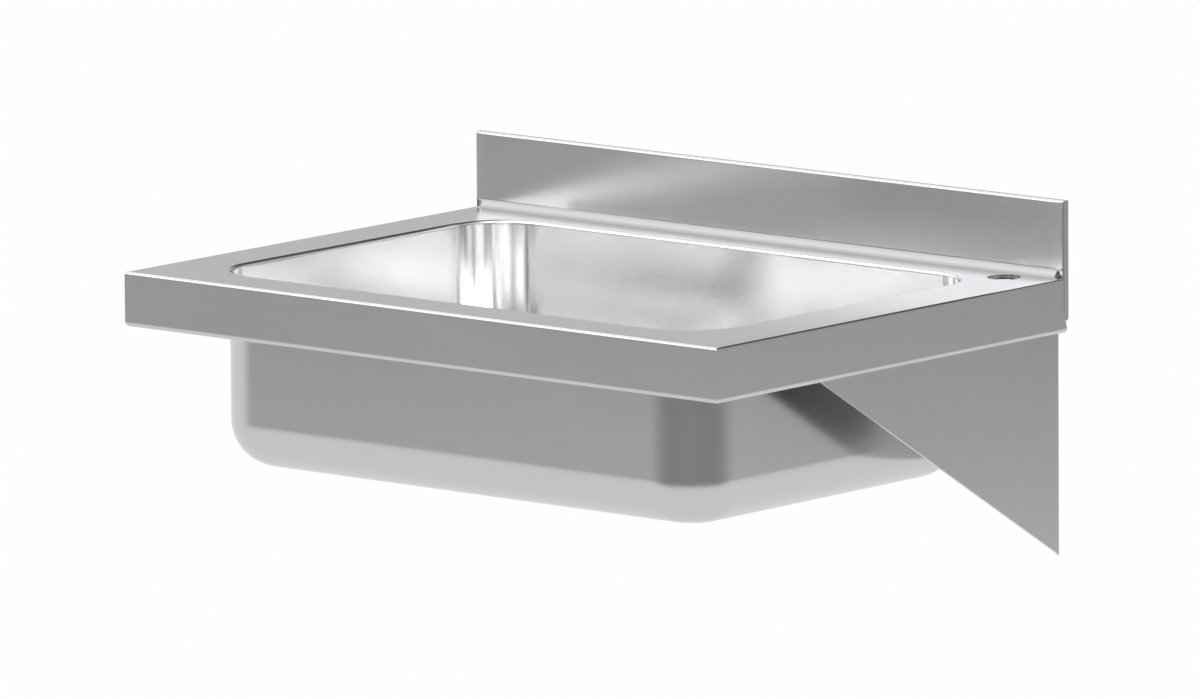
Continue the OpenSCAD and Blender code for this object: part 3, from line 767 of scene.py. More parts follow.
def make_deck(sizes, bowl, look):
    """The deck: a flat panel between the bowl's flange and the folds, with the tap hole in
    its rear right corner, and the folded aprons carried round its left, front and right."""
    lines = BowlLines(bowl)
    shell = Shell()
    r = sizes.top_fold
    low = np.array([DECK_LOW.x + r, DECK_LOW.y + r])
    high = np.array([DECK_HIGH.x - r, UPSTAND_LOW.y])
    inner = lines.at(bowl.rim + bowl.flange)
    outer = lines.on_rectangle(low, high)
    across = np.array([0.0, 0.02, 0.35, 0.7, 0.98, 1.0])[:, None, None]
    ring = inner + (outer - inner) * across
    corner = len(lines.sides[0]) - 1
    one, two = [corner + step for step in TAP_POINTS]
    lower, upper = inner[one : two + 1], outer[one : two + 1][::-1]
    fence = np.vstack([lower, ring[1:-1, two], upper, ring[1:-1, one][::-1]])
    hole = np.array([sizes.tap_x, sizes.tap_y])
    tap = rays(fence, hole, sizes.tap_radius, [0.0, 0.03, 0.3, 0.65, 1.0])
    heights = (TOP_Z, TOP_Z - sizes.sheet)
    for z in heights:
        shell.add(lifted(ring[:, np.r_[two : len(inner), 0 : one + 1]], z))
        shell.add(lifted(tap, z), wrap_cols=True)
    shell.wall(inner, heights, True)
    shell.wall(tap[0], heights, True)
    rear_right = corner + lines.steps // 2
    rear_left = rear_right + lines.steps + len(lines.sides[1]) - 1
    shell.wall(outer[rear_right : rear_left + 1], heights)
    total = len(outer)
    columns = outer[np.arange(rear_left, rear_right + total + 1) % total]
    inward = points(away(columns[:, 0], low[0], high[0]), np.isclose(columns[:, 1], low[1]))
    returns = (sizes.side_return, sizes.front_return)
    folds = sheet_profile(sizes, DECK_HIGH.z - DECK_LOW.z, sizes.bottom_fold, returns)

    def axes(x, y, depth):
        return points(x, y, TOP_Z - depth)

    folded_frame(shell, sizes, folds, columns, inward, APRON_ENDS, axes)
    shell.piece("folded_deck", "sink", "deck_steel", "deck", satin_steel("deck steel", look))


# Angles of the cove's rows, up to where the relief notches it, and up to where it
# is rougher and darker, with painted shade
COVE_ROWS = np.r_[np.linspace(-90, -14, 16), np.linspace(-11.4, 0, 4)]
NOTCHED, SHADED_UP_TO = -12, -8


def make_upstand(sizes, look):
    """The upstand: a flat face between its folded top and ends, side returns that run down
    beside the aprons, and the cove that carries it into the deck. A round relief notches
    both ends of the cove, with a small web behind it."""
    shell = Shell()
    r, t, cove = sizes.top_fold, sizes.sheet, sizes.cove
    front_y = UPSTAND_LOW.y + cove
    left, right = UPSTAND_LOW.x + r, UPSTAND_HIGH.x - r
    base_z, high_z = TOP_Z + cove, UPSTAND_HIGH.z - r
    xs = np.r_[left, np.linspace(left + 8 * MM, right - 8 * MM, 48), right]
    zs = eased(base_z, high_z, 6)
    for y in (front_y, front_y + t):
        shell.add(points(xs, y, zs[:, None]))
    ends = points(left, zs[:-1]), points(xs, high_z), points(right, zs[:-1][::-1])
    columns = np.vstack(ends)
    inward = points(away(columns[:, 0], left, right), -1.0 * np.isclose(columns[:, 1], high_z))

    def axes(x, z, depth):
        return points(x, front_y + depth, z)

    folds = sheet_profile(sizes, -front_y)
    folded_frame(shell, sizes, folds, columns, inward, RETURN_ENDS, axes)
    turn = np.radians(COVE_ROWS)
    from_relief = UPSTAND_LOW.y + cove * np.cos(turn) - (front_y - sizes.relief / 2)
    reach = np.sqrt(np.clip(sizes.relief**2 - from_relief**2, 0, None))
    notch = UPSTAND_HIGH.x - (t / 2 + sizes.relief) - reach
    last = np.where((reach > 0) & (COVE_ROWS < NOTCHED), notch, right)
    x = np.broadcast_to(xs, (len(turn), len(xs))).copy()
    x[:, -1], x[:, 0] = last, -last
    cos, sin = np.cos(turn)[:, None], np.sin(turn)[:, None]
    front, back = [
        points(x, UPSTAND_LOW.y + radius * cos, base_z + radius * sin)
        for radius in (cove, cove + t)
    ]
    # Painted shade: the lower rows of the cove are marked to render darker, and rougher
    for line in (front, back):
        shell.add(line, mark=(COVE_ROWS < SHADED_UP_TO)[:, None])
    shell.strip(front[0], back[0])
    for end in (0, -1):
        shell.strip(front[:, end], back[:, end])
    near, far, under, above = front_y + t, front_y + 2 * t, TOP_Z - t, base_z + 4 * MM
    web = np.array([[near, under], [far, under], [far, above], [near, above]])
    for side in (-1, 1):
        x = side * (UPSTAND_HIGH.x - t - np.array([0.0, 7.5 * MM]))
        block = points(x, web[:, :1], web[:, 1:])
        shell.add(block, wrap_rows=True)
        for end in (0, 1):
            shell.strip(block[:2, end], block[[3, 2], end])
    shell.piece("folded_upstand", "sink", "deck_steel", "upstand", satin_steel("deck steel", look))


# Rings of the dish round the outlet: radius, and height over the bowl's floor
DISH_RADII = np.array([46.0, 36.5, 35.6, 34.9, 33.9, 33.0, 31.5, 27.0]) * MM
DISH_FALLS = np.array([-0.12, -1.92, -2.05, -2.4, -4.1, -4.42, -4.5, -4.5, -4.5, -4.5]) * MM
# Rows of the section that are satin, and as many again over which it turns to polish
SATIN_ROWS = 9


def make_bowl(sizes, look):
    """The bowl: its section is carried round the plan. The section's wall part is an offset
    of the plan, the floor goes evenly from the plan's innermost line to the dish's circle,
    and the dish is rings round the outlet. The outside is the same section a sheet further.
    The flange and half the rim roll are satin, and the roll's other half turns to polish."""
    lines = BowlLines(sizes)
    rim, base = sizes.rim, sizes.base
    floor_z = TOP_Z - sizes.depth
    hole_r = (WASTE_HIGH.x - WASTE_LOW.x) / 2 - 9 * MM
    dish = np.r_[DISH_RADII, hole_r + 1 * MM, hole_r]
    flange, roll_z = eased(rim + sizes.flange, rim, 3, 0.5 * MM), TOP_Z - rim
    wall = eased(roll_z, floor_z + base, 12, 0.8 * MM)[1:-1]
    across = np.array([0.04, 0.25, 0.5, 0.75, 0.96, 1.0])
    aim = unit(lines.at(-base) - AXIS)
    sheets = []
    for drop in (0.0, sizes.wall):
        roll = arc((rim, roll_z), rim - drop, 90, 180, 14)[1:]
        fillet = arc((-base, floor_z + base), base + drop, 0, -90, 26)
        upper = np.vstack([points(flange, TOP_Z - drop), roll, points(drop, wall), fillet])
        floor = points(-base, floor_z - drop, across, sizes.dish)
        centre = points(-base, floor_z + DISH_FALLS - drop, 1.0, dish)
        section = np.vstack([points(upper[:, 0], upper[:, 1], 0.0, sizes.dish), floor, centre])
        offset, height, floor_share, radius = section.T
        plan = np.stack([lines.at(value) for value in offset])
        rings = AXIS + aim * radius[:, None, None]
        plan = plan + (rings - plan) * floor_share[:, None, None]
        sheets.append(lifted(plan, height[:, None]))
    inside, outside = sheets
    polished = np.clip((np.arange(len(inside)) - SATIN_ROWS) / SATIN_ROWS, 0, 1)
    mark = np.r_[polished, np.zeros(len(outside))][:, None]
    shell = Shell()
    grid = np.concatenate([inside, outside[::-1]])
    shell.add(grid, wrap_rows=True, wrap_cols=True, mark=mark)
    shell.piece("pressed_bowl", "sink", "bowl_steel", "bowl", bowl_steel(look))


# Brackets and small sheet parts

FIXING_X, FIXING_Z = 227.5 * MM, 40 * MM


def make_bracket(sizes, look, side):
    """A bracket: a gusset whose lower edge slants from toe to nose, folded by quarter arcs
    into a flange on the wall, with two round holes, and a flange under the deck. Outer and
    inner faces are the same lines a sheet apart, and strips close all cut edges."""
    node = "bracket_right" if side > 0 else "bracket_left"
    low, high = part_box("bracket_right")
    t, r = sizes.sheet, sizes.fold
    face, toe, top, front = high.x, -sizes.toe, high.z, low.y
    slope = (top - sizes.nose - toe) / front
    block, flange_end = 14 * MM, -50 * MM
    shelf, last, foot = top - r, -FIXING_Z - block, toe - r * slope
    cuts = [shelf, top - block, FIXING_Z + block, FIXING_Z - block, block - FIXING_Z, last, foot]
    counts = [3, 4, 10, 6, 10, 7]
    spans = zip(cuts[:-1], cuts[1:], counts)
    levels = np.concatenate([np.linspace(*span, endpoint=False) for span in spans] + [[foot]])
    marks = np.cumsum([0, *counts])
    ys = np.r_[front, np.linspace(front + 3 * MM, flange_end - 3 * MM, 24), flange_end]
    split = len(ys)
    ys = np.r_[ys, flange_end + 4 * MM, np.linspace(-36 * MM, -8 * MM, 4), -r]
    turn = np.radians(np.linspace(0, 90, 9))
    cos, sin = np.cos(turn), np.sin(turn)
    share_down = ((shelf - levels) / (shelf - foot))[:, None]
    xs = np.linspace(face - r, low.x, 11)
    across = np.linspace(face - r, face - sizes.top_width, 5)[:, None]
    bend_ends = np.maximum(toe + (r * sin - r) * slope, toe + r - r * cos)
    shell = Shell()

    def heights(ends):
        """Levels whose lowest stretch is carried to another lower end in each column."""
        lowest = (levels[:, None] - last) / (foot - last)
        return np.where(levels[:, None] >= last, levels[:, None], last + lowest * (ends - last))

    def faces(drop):
        """One side of the sheet: gusset, bend to the wall, wall flange, bend to the top, top
        flange, and the rims of the two holes."""
        bend_x, bend_y = side * (face - r + (r - drop) * cos), (r - drop) * sin - r
        bend_z, near = (shelf + (r - drop) * sin)[:, None], ys[:split]
        gusset = points(side * (face - drop), ys, shelf - share_down * (shelf - toe - ys * slope))
        wall = points(side * xs, -drop, heights(toe + face - xs))[marks[1] :]
        made = [gusset, points(bend_x, bend_y, heights(bend_ends)), wall]
        made += [points(bend_x[:, None], near, bend_z), points(side * across, near, top - drop)]
        for k in (0, 1, 3, 4):
            shell.add(made[k])
        at = marks[1:] - marks[1]
        for k, level in enumerate((None, FIXING_Z, None, -FIXING_Z, None)):
            part = wall[at[k] : at[k + 1] + 1]
            if level is None:
                shell.add(part)
                continue
            ring = round_hole(part, np.array([side * FIXING_X, -drop, level]), sizes.hole)
            shell.add(ring, wrap_cols=True)
            made.append(ring[0])
        return made

    outer, inner = faces(0.0), faces(t)
    edges = {
        0: (np.s_[-1], np.s_[:, 0], np.s_[0, split - 1 :]),
        1: (np.s_[0], np.s_[-1], np.s_[: marks[1] + 1, -1]),
        2: (np.s_[0], np.s_[-1], np.s_[:, -1]),
        3: (np.s_[:, 0], np.s_[:, -1]),
        4: (np.s_[:, 0], np.s_[:, -1], np.s_[-1]),
    }
    for part, cut_edges in edges.items():
        for edge in cut_edges:
            shell.strip(outer[part][edge], inner[part][edge])
    for hole, hole_in in zip(outer[5:], inner[5:]):
        shell.strip(hole, hole_in, True)
    piece = shell.piece("folded_" + node, "sink", "bracket_steel", node, mill_steel(look))
    soften(piece, sizes.softened)


def make_tap_plate(sheet, bracket, look):
    """The plate under the tap hole: a rectangle with round corners and one bevelled corner,
    as even points by length, and lines from them to the hole."""
    low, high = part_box("tap_hole_plate")
    hole = np.array([sheet.tap_x, sheet.tap_y])
    cut, round_r, bevel_r = 9 * MM / math.sqrt(2), 4 * MM, 0.6 * MM
    start = [hole[0], low.y]
    square = [high.x, low.y], [high.x, high.y], [low.x, high.y]
    bevel = [low.x, low.y + cut], [low.x + cut, low.y]
    outline = rounded([start, *square, *bevel, start], [round_r] * 3 + [bevel_r] * 2)
    loop = spaced(outline[:-1], 144)
    shell = Shell()
    plate, heights = rays(loop, hole, sheet.tap_radius, [0.0, 0.1, 0.9, 1.0]), (high.z, low.z)
    for z in heights:
        shell.add(lifted(plate, z), wrap_cols=True)
    for rim in (plate[0], plate[-1]):
        shell.wall(rim, heights, True)
    piece = shell.piece("tap_plate", "sink", "bracket_steel", "tap_hole_plate", mill_steel(look))
    soften(piece, bracket.softened)


def make_earth_tag(bracket, look):
    """The earthing tag: a strip bent by a quarter turn, from its foot on the bracket to a
    leg with a round hole for the bonding screw."""
    low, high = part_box("earth_tag")
    r, hole_r = 1.8 * MM, 2.5 * MM
    half = (high.z - low.z) / 2
    zs = np.linspace(low.z, high.z, 11)[:, None]
    bend = np.radians(np.linspace(180, 90, 8))
    shell = Shell()
    sheets = []
    for drop in (0.0, 1.2 * MM):
        foot = points(low.x + drop, np.linspace(low.y, high.y - r, 6)[:-1])
        turn = points(low.x + r + (r - drop) * np.cos(bend), high.y - r + (r - drop) * np.sin(bend))
        x, y = np.vstack([foot, turn]).T
        strip, leg = points(x, y, zs), points(np.linspace(low.x + r, high.x, 12), high.y - drop, zs)
        middle = np.array([high.x - half, high.y - drop, low.z + half])
        ring = round_hole(leg, middle, hole_r)
        shell.add(strip)
        shell.add(ring, wrap_cols=True)
        sheets.append((strip, leg, ring[0]))
    (strip, leg, hole), (strip_in, leg_in, hole_in) = sheets
    for at in (0, -1):
        shell.strip(strip[at], strip_in[at])
        shell.strip(leg[at], leg_in[at])
    shell.strip(strip[:, 0], strip_in[:, 0])
    shell.strip(leg[:, -1], leg_in[:, -1])
    shell.strip(hole, hole_in, True)
    piece = shell.piece("bent_earth_tag", "sink", "bracket_steel", "earth_tag", mill_steel(look))
    soften(piece, bracket.softened * 0.6)


def make_pad():
    """The damping pad: lines of a rectangle with round corners that shrink towards the
    middle, with its lower edge rounded."""
    low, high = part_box("sound_pad")
    middle = np.array([(low.x + high.x) / 2, (low.y + high.y) / 2])
    half = np.array([high.x - low.x, high.y - low.y]) / 2
    radius, soft = 12 * MM, 0.9 * MM

    def line(inset, z):
        """The outline at a distance in from the edge, at a height."""
        runs = [
            arc(centre * (half - radius), radius - inset, 90 * k, 90 * k + 90, 10)
            for k, centre in enumerate(((1, 1), (-1, 1), (-1, -1), (1, -1)))
        ]
        return lifted(spaced(np.vstack(runs), 160) + middle, z)

    rings = [line(0.0, high.z)]
    rings += [line(*spot) for spot in arc((soft, low.z + soft), soft, 180, 270, 6)]
    inwards = np.array([0.02, 0.3, 0.7, 1.0])[:, None, None]
    above, under = [
        ring + (np.r_[middle, ring[0, 2]] - ring) * inwards for ring in (rings[0], rings[-1])
    ]
    shell = Shell()
    shell.add(np.concatenate([above[::-1], np.array(rings), under]), wrap_cols=True)
    pad = moulded("damping pad", (0.03, 0.03, 0.032), 0.8, 260.0, 0.15 * MM)
    shell.piece("damping_pad", "sink", "bitumen_pad", "sound_pad", pad)


# Waste and plug


def round_node(node):
    """Lower end, upper end and radius of a node that stands round the waste's axis."""
    low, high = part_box(node)
    return low.z, high.z, (high.x - low.x) / 2


def wave(turns):
    """A soft wave from nothing at whole turns to one at half turns: half of one less the
    cosine."""
    return 0.5 - 0.5 * np.cos(2 * math.pi * turns)


def turned(*lathe_args, closed=True):
    """A shell round the waste's axis."""
    shell = Shell()
    shell.add(lathe(*lathe_args), wrap_rows=closed, wrap_cols=True)
    return shell


def chromed(shell, name, body, node, look, sharp):
    """A chrome plated piece."""
    return shell.piece(name, body, "waste_chrome", node, chrome_plate(look), sharp)


def make_waste(sizes, look):
    """The waste: a flange with a coned seat over a tail with a helical thread, whose depth
    is a wave of height over pitch less the turn, faded out at both ends and interrupted by
    a groove, and a cross of bars round a hub."""
    low, high, flange = round_node("waste_body")
    tail, bore, steps = sizes.tail, sizes.tail - sizes.wall, 144
    under = high - 2.5 * MM
    groove_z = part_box("waste_back_nut")[0].z - 0.75 * MM
    height = np.linspace(low, under, 210)
    plain = tail - np.clip(1 * MM - (height - low), 0, None)
    turn = np.linspace(0, 1, steps, endpoint=False)
    in_groove = np.clip((0.9 * MM - np.abs(height - groove_z)) / (0.3 * MM), 0, 1)
    fade = np.clip((height - low - 0.8 * MM) / sizes.pitch, 0, 1)
    fade *= np.clip((under - 2 * MM - height) / sizes.pitch, 0, 1) * (1 - in_groove)
    thread = wave(height[:, None] / sizes.pitch - turn) * sizes.thread * fade[:, None]
    cut = np.maximum(thread, 0.7 * MM * in_groove[:, None])
    corners = [
        [tail, under],
        [flange, under],
        [flange, under + 0.9 * MM],
        [flange - 3.5 * MM, high],
        [bore + 3.5 * MM, high],
        [bore, high - sizes.seat],
        [bore, low],
    ]
    crown = rounded(corners, [0.2 * MM, 0.7 * MM, 2 * MM, 0.5 * MM, 1 * MM])[1:]
    profile = np.vstack([points(plain, height), crown])
    shell = turned(profile, steps, np.vstack([cut, np.zeros((len(crown), steps))]))
    bar_top, bar_low = high - 12 * MM, high - 16 * MM
    reach, soft, half = (bore + tail) / 2, 0.7 * MM, 1.5 * MM
    start = [0, bar_low]
    box = [start, [half, bar_low], [half, bar_top], [-half, bar_top], [-half, bar_low], start]
    across, z = rounded(box, [soft] * 4)[:-1].T
    run = np.linspace(-reach, reach, 9)[:, None]
    for x, y in ((run, across), (across, run)):
        bar = points(AXIS[0] + x, AXIS[1] + y, z)
        ends = bar[[0, -1]].mean(1, keepdims=True) + 0 * bar[[0, -1]]
        shell.add(np.concatenate([ends[:1], bar, ends[1:]]), wrap_cols=True)
    hub_r = 4.5 * MM
    hub = rounded([[0, bar_low], [hub_r, bar_low], [hub_r, bar_top], [0, bar_top]], [soft] * 2)
    shell.add(lathe(hub, 48), wrap_cols=True)
    chromed(shell, "threaded_waste", "sink", "waste_body", look, 40.0)


def make_nut(sizes, look):
    """The back nut: half its width across flats over the cosine of the angle from the
    nearest flat, never more than the cone that turned its corners, under a round skirt."""
    low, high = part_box("waste_back_nut")
    corner, skirt = (high.x - low.x) / 2, (high.y - low.y) / 2
    low, high = low.z, high.z
    flat, bore = corner * math.cos(math.radians(30)), sizes.tail + 0.05 * MM
    steps, step, chamfer = 120, high - 2.4 * MM, 1.8 * MM
    turn = np.radians(np.linspace(0, 360, steps, endpoint=False) % 60 - 30)
    rise = np.r_[np.linspace(0, chamfer, 13), 3 * MM, 6.4 * MM, 6.6 * MM]
    cone = flat + (corner - flat) * np.clip(rise / chamfer, 0, 1)
    sides = np.minimum(flat / np.cos(turn), cone[:, None])
    corners = [[skirt, step], [skirt, high], [bore, high], [bore, low], [flat - 1 * MM, low]]
    cap = rounded(corners, [0.6 * MM, 0.5 * MM, 0.8 * MM])
    profile = np.vstack([points(corner, np.r_[low + rise[:-1], step]), cap])
    cut = np.vstack([corner - sides, np.zeros((len(cap), steps))])
    chromed(turned(profile, steps, cut), "back_nut", "sink", "waste_back_nut", look, 24.0)


def make_seal(sizes, node, gap, slot, material):
    """A seal or washer: a ring whose section is a rectangle with round corners."""
    low, high, outer = round_node(node)
    inner = sizes.tail + gap
    start = [(inner + outer) / 2, low]
    corners = [start, [outer, low], [outer, high], [inner, high], [inner, low], start]
    ring = turned(rounded(corners, [0.35 * (high - low)] * 4)[:-1])
    ring.piece(node + "_ring", "sink", slot, node, material)


def make_plug(sizes, look):
    """The rubber plug: a short body, a coned side with two sealing grooves, and a lip with
    rounded edges and a ring pressed into its top."""
    low, high, lip = round_node("plug_rubber")
    body, cone_out, shank = sizes.tail - sizes.wall - 0.3 * MM, 3.5 * MM, 2.2 * MM
    seat_low, lip_low = WASTE_HIGH.z - sizes.seat, WASTE_HIGH.z + 0.3 * MM
    start = [body + 0.4 * MM, seat_low + 0.5 * MM]
    foot = [[shank, low], [body - 1.2 * MM, low], [body, seat_low], start]
    side = np.linspace(0, 1, 40)
    groove = 0.35 * MM * wave(2 * side) ** 2
    cone = points(body + side * cone_out - groove, seat_low + side * (lip_low - seat_low))
    edge = [[body + cone_out, lip_low], [lip, lip_low], [lip, high], [21.6 * MM, high]]
    ring = [[21.6, 0.0], [21.3, -0.3], [20.7, -0.3], [20.4, 0.0], [17.0, 0.0], [2.2, 0.0]]
    parts = [
        rounded(foot, [1.2 * MM, 0.5 * MM])[:-1],
        cone[2:-1],
        rounded(edge, [0.7 * MM, 1.1 * MM])[:-1],
        rounded(np.array(ring) * MM + [0.0, high], [0.1 * MM, 0.1 * MM, 0.1 * MM, 0.0]),
    ]
    skin = moulded("plug rubber", look.rubber, 0.5, 1200.0, 0.02 * MM)
    shell = turned(np.vstack(parts), 120)
    shell.piece("moulded_plug", "plug", "plug_rubber", "plug_rubber", skin, 50.0)


def make_cap(sizes, look):
    """The plug's cap: a disc with a rounded rim and two ears, plates with a round top and
    lines from their outline to the hole for the bail's pin."""
    low, high, disc = round_node("plug_cap")
    top, bore, ear = low + 1.5 * MM, 2.2 * MM, 2.7 * MM
    pivot, ear_low = np.array([0, high - ear]), low + 0.4 * MM
    corners = [[bore, low], [disc, low], [disc, top], [bore, top]]
    shell = turned(rounded(corners, [0.25 * MM, 1.0 * MM]))
    outline = np.vstack([arc(pivot, ear, 0, 180, 30), [[-ear, ear_low], [ear, ear_low]]])
    plate = rays(spaced(outline, 96), pivot, sizes.pin + 0.05 * MM, [0.0, 0.15, 0.85, 1.0])
    for side in (-1, 1):
        faces = [
            points(AXIS[0] + side * x, AXIS[1] + plate[..., 0], plate[..., 1])
            for x in (9.2 * MM, 11.0 * MM)
        ]
        for face in faces:
            shell.add(face, wrap_cols=True)
        for at in (0, -1):
            shell.strip(faces[0][at], faces[1][at], True)
    soften(chromed(shell, "pressed_cap", "plug", "plug_cap", look, 40.0), 0.15 * MM)


def make_rivet(look):
    """The rivet: a dome, part of a sphere, over a shank that ends in a flat head."""
    low, high, head = round_node("plug_rivet")
    rise, shank = 1.6 * MM, 2.2 * MM
    ball = (head**2 + rise**2) / (2 * rise)
    tilt = math.degrees(math.asin(head / ball))
    dome = arc((0, high - ball), ball, 90, 90 - tilt, 12)
    neck, foot = high - rise, low + 0.8 * MM
    corners = [[head, neck], [shank, neck], [shank, foot], [head, foot], [head, low], [0, low]]
    profile = np.vstack([dome[:-1], rounded(corners, [0.0, 0.0, 0.2 * MM, 0.4 * MM])])
    shell = turned(profile, 64, closed=False)
    chromed(shell, "domed_rivet", "plug", "plug_rivet", look, 50.0)


def make_bail(sizes, look):
    """The wire bail: a round wire carried along pin, bend, leg, half ring, leg, bend and
    pin, with its ends rounded off."""
    low, high, outer = round_node("plug_bail")
    wire, ring = sizes.pin, outer - sizes.pin
    leg, bend, end = 3 * MM, 1.8 * MM, 8.9 * MM
    tip = np.array([0.0, 0.02, 0.12, 0.35]) * MM
    run = np.r_[tip, np.linspace(0.6 * MM, ring - end - bend - 0.2 * MM, 5)]
    corner = arc((-ring + bend, -bend), bend, 90, 180, 8)
    left = np.vstack([points(-end - run, 0.0), corner, arc((0, -leg), ring, 180, 270, 36)])
    path = np.vstack([left, left[::-1][1:] * [-1, 1]]) + AXIS
    radius = np.full(len(path), wire)
    taper = np.array([0.0, 0.62, 0.86, 0.97]) * wire
    radius[:4], radius[-4:] = taper, taper[::-1]
    shell = Shell()
    shell.add(tube(lifted(path, (low + high) / 2), radius), wrap_cols=True)
    chromed(shell, "wire_bail", "bail", "plug_bail", look, 60.0)


# Studio

FLOOR_HALF = 60.0
CAMERA_TURN, CAMERA_LIFT, CAMERA_ROLL = 40.26, 9.346, -0.408
CAMERA_PLACE = (6.5242, -7.8773, 1.7119)
CAMERA_LENS = 473.67


def heading(turn, lift):
    """The direction at an angle round from the front, to the right, and an angle upwards."""
    turn, lift = math.radians(turn), math.radians(lift)
    return math.sin(turn) * math.cos(lift), -math.cos(turn) * math.cos(lift), math.sin(lift)


def linked(name, data):
    """A new object in the scene."""
    made = bpy.data.objects.new(name, data)
    bpy.context.scene.collection.objects.link(made)
    return made


def room_round(tree, where, studio, back):
    """The studio's brightness at floor level in a direction."""
    sides = {"Side": studio.surround, "Left": studio.left, "Front": studio.front, "Back": back}
    return use(tree, "studio surround", Direction=where, **sides)


def make_floor(studio):
    """A wide flat floor under the wall-hung sink. The camera sees it white, and metal sees
    it white beneath and behind the sink, and grey far off at the front and sides."""
    edge = np.linspace(-FLOOR_HALF, FLOOR_HALF, 13)
    drop = studio.floor_drop
    shell = Shell()
    shell.add(points(edge[:, None], edge, -drop))
    mesh = shell.mesh("studio_floor")
    linked("studio_floor", mesh)
    material, tree, shader, where = surface("studio floor")
    feed(tree, shader, {"Base Color": rgba((0.88, 0.88, 0.88)), "Roughness": 0.9})
    matt = tree.nodes["Principled BSDF"].outputs[0]
    room = room_round(tree, where, studio, studio.floor_back)
    distance = vector(tree, "LENGTH", vector(tree, "MULTIPLY", where, LEVEL_PART), output="Value")
    closed = maths(tree, "SUBTRACT", 1.0, room["Open"])
    reach = scaled(tree, closed, drop * 2.0, distance)
    near = remap(tree, reach, drop * 4.3, drop * 6.2, 1.0, 0.0)
    mirrored = glow(tree, "Emission", towards(tree, room["Level"], 0.92, near))
    metal = maths(tree, "MAXIMUM", ray_is(tree, "Glossy"), ray_is(tree, "Transmission"))
    unseen = mix(tree, metal, matt, mirrored)
    seen = mix(tree, 0.94, matt, glow(tree, "Emission", 1.0))
    final = mix(tree, ray_is(tree, "Camera"), unseen, seen)
    feed(tree, tree.nodes["Material Output"].inputs, {"Surface": final})
    mesh.materials.append(material)


def make_world(studio):
    """White for the camera. Other rays find a bright ceiling with softboxes, and below it
    the studio as it stands at floor level."""
    world = bpy.data.worlds.new("studio")
    bpy.context.scene.world = world
    world.use_nodes = True
    tree = world.node_tree
    tree.nodes.clear()
    where = tree.nodes.new("ShaderNodeTexCoord").outputs["Generated"]
    height = put(tree, "ShaderNodeSeparateXYZ", {0: where}).outputs["Z"]
    room = room_round(tree, where, studio, studio.back)
    level = towards(tree, room["Level"], studio.walls, remap(tree, height, 0.02, 0.12, 0.0, 1.0))
    upper = remap(tree, height, 0.0, 0.1, 0.0, 1.0)
    boxes = (
        ((-132, 36), 18, studio.rear_softbox),
        ((-22, 44), 46, studio.front_softbox),
        ((36, 14), 18, studio.low_softbox),
        ((70, 50), 20, studio.right_softbox),
        ((-80, 12), 42, studio.left_softbox),
        ((-42, 24), 24, studio.small_softbox),
        ((-88, 50), 28, studio.high_softbox),
        ((175, 45), 48, -studio.rear_shade),
    )
    for place, width, power in boxes:
        near = facing(tree, where, heading(*place))
        edge, full = math.cos(math.radians(width)), math.cos(math.radians(0.35 * width))
        level = scaled(tree, remap(tree, near, edge, full, 0.0, power), upper, level)
    level = maths(tree, "MINIMUM", maths(tree, "MAXIMUM", level, 0.05), studio.brightest)
    shown, white = glow(tree, "Background", level), glow(tree, "Background", 1.0)
    final = mix(tree, ray_is(tree, "Camera"), shown, white)
    put(tree, "ShaderNodeOutputWorld", {"Surface": final})


def make_lights(studio):
    """A wide soft light above the bowl, a little to the left and front."""
    light = bpy.data.lights.new("top light", "AREA")
    light.shape = "RECTANGLE"
    light.size, light.size_y = 1.8, 1.8
    light.energy = studio.top_light
    lamp = linked("top light", light)
    lamp.location = (-0.2, -1.0, 2.4)
    lamp.rotation_euler = lamp.location.to_track_quat("Z", "Y").to_euler()


def make_camera():
    """A long lens from the front right and a little above, with a slight roll."""
    back = np.array(heading(CAMERA_TURN, CAMERA_LIFT))
    right = unit(np.cross(-back, [0.0, 0.0, 1.0]))
    up = np.cross(right, -back)
    cos, sin = math.cos(math.radians(CAMERA_ROLL)), math.sin(math.radians(CAMERA_ROLL))
    data = bpy.data.cameras.new("camera")
    data.sensor_width, data.sensor_fit = 36.0, "HORIZONTAL"
    data.lens = CAMERA_LENS
    data.clip_start, data.clip_end = 1.0, 200.0
    camera = linked("camera", data)
    rows = np.c_[cos * right + sin * up, cos * up - sin * right, back, CAMERA_PLACE]
    camera.matrix_world = Matrix([*rows.tolist(), [0.0, 0.0, 0.0, 1.0]])
    bpy.context.scene.camera = camera


# Operators


class SINK_OT_deck(bpy.types.Operator):
    """Build the folded deck with its aprons and tap hole"""

    bl_idname = "sink.deck"
    bl_label = "Deck"

    def execute(self, context):
        scene = context.scene
        make_deck(scene.sink_sheet, scene.sink_bowl, scene.sink_finishes)
        return {"FINISHED"}


class SINK_OT_upstand(bpy.types.Operator):
    """Build the upstand with its folded edges and cove"""

    bl_idname = "sink.upstand"
    bl_label = "Upstand"

    def execute(self, context):
        make_upstand(context.scene.sink_sheet, context.scene.sink_finishes)
        return {"FINISHED"}


class SINK_OT_bowl(bpy.types.Operator):
    """Build the pressed bowl"""

    bl_idname = "sink.bowl"
    bl_label = "Bowl"

    def execute(self, context):
        make_bowl(context.scene.sink_bowl, context.scene.sink_finishes)
        return {"FINISHED"}


class SINK_OT_brackets(bpy.types.Operator):
    """Build the two folded wall brackets"""

    bl_idname = "sink.brackets"
    bl_label = "Brackets"

    def execute(self, context):
        for side in (-1, 1):
            make_bracket(context.scene.sink_bracket, context.scene.sink_finishes, side)
        return {"FINISHED"}


class SINK_OT_fittings(bpy.types.Operator):
    """Build the plate under the tap, the earthing tag and the damping pad"""

    bl_idname = "sink.fittings"
    bl_label = "Fittings"

    def execute(self, context):
        scene = context.scene
        make_tap_plate(scene.sink_sheet, scene.sink_bracket, scene.sink_finishes)
        make_earth_tag(scene.sink_bracket, scene.sink_finishes)
        make_pad()
        return {"FINISHED"}


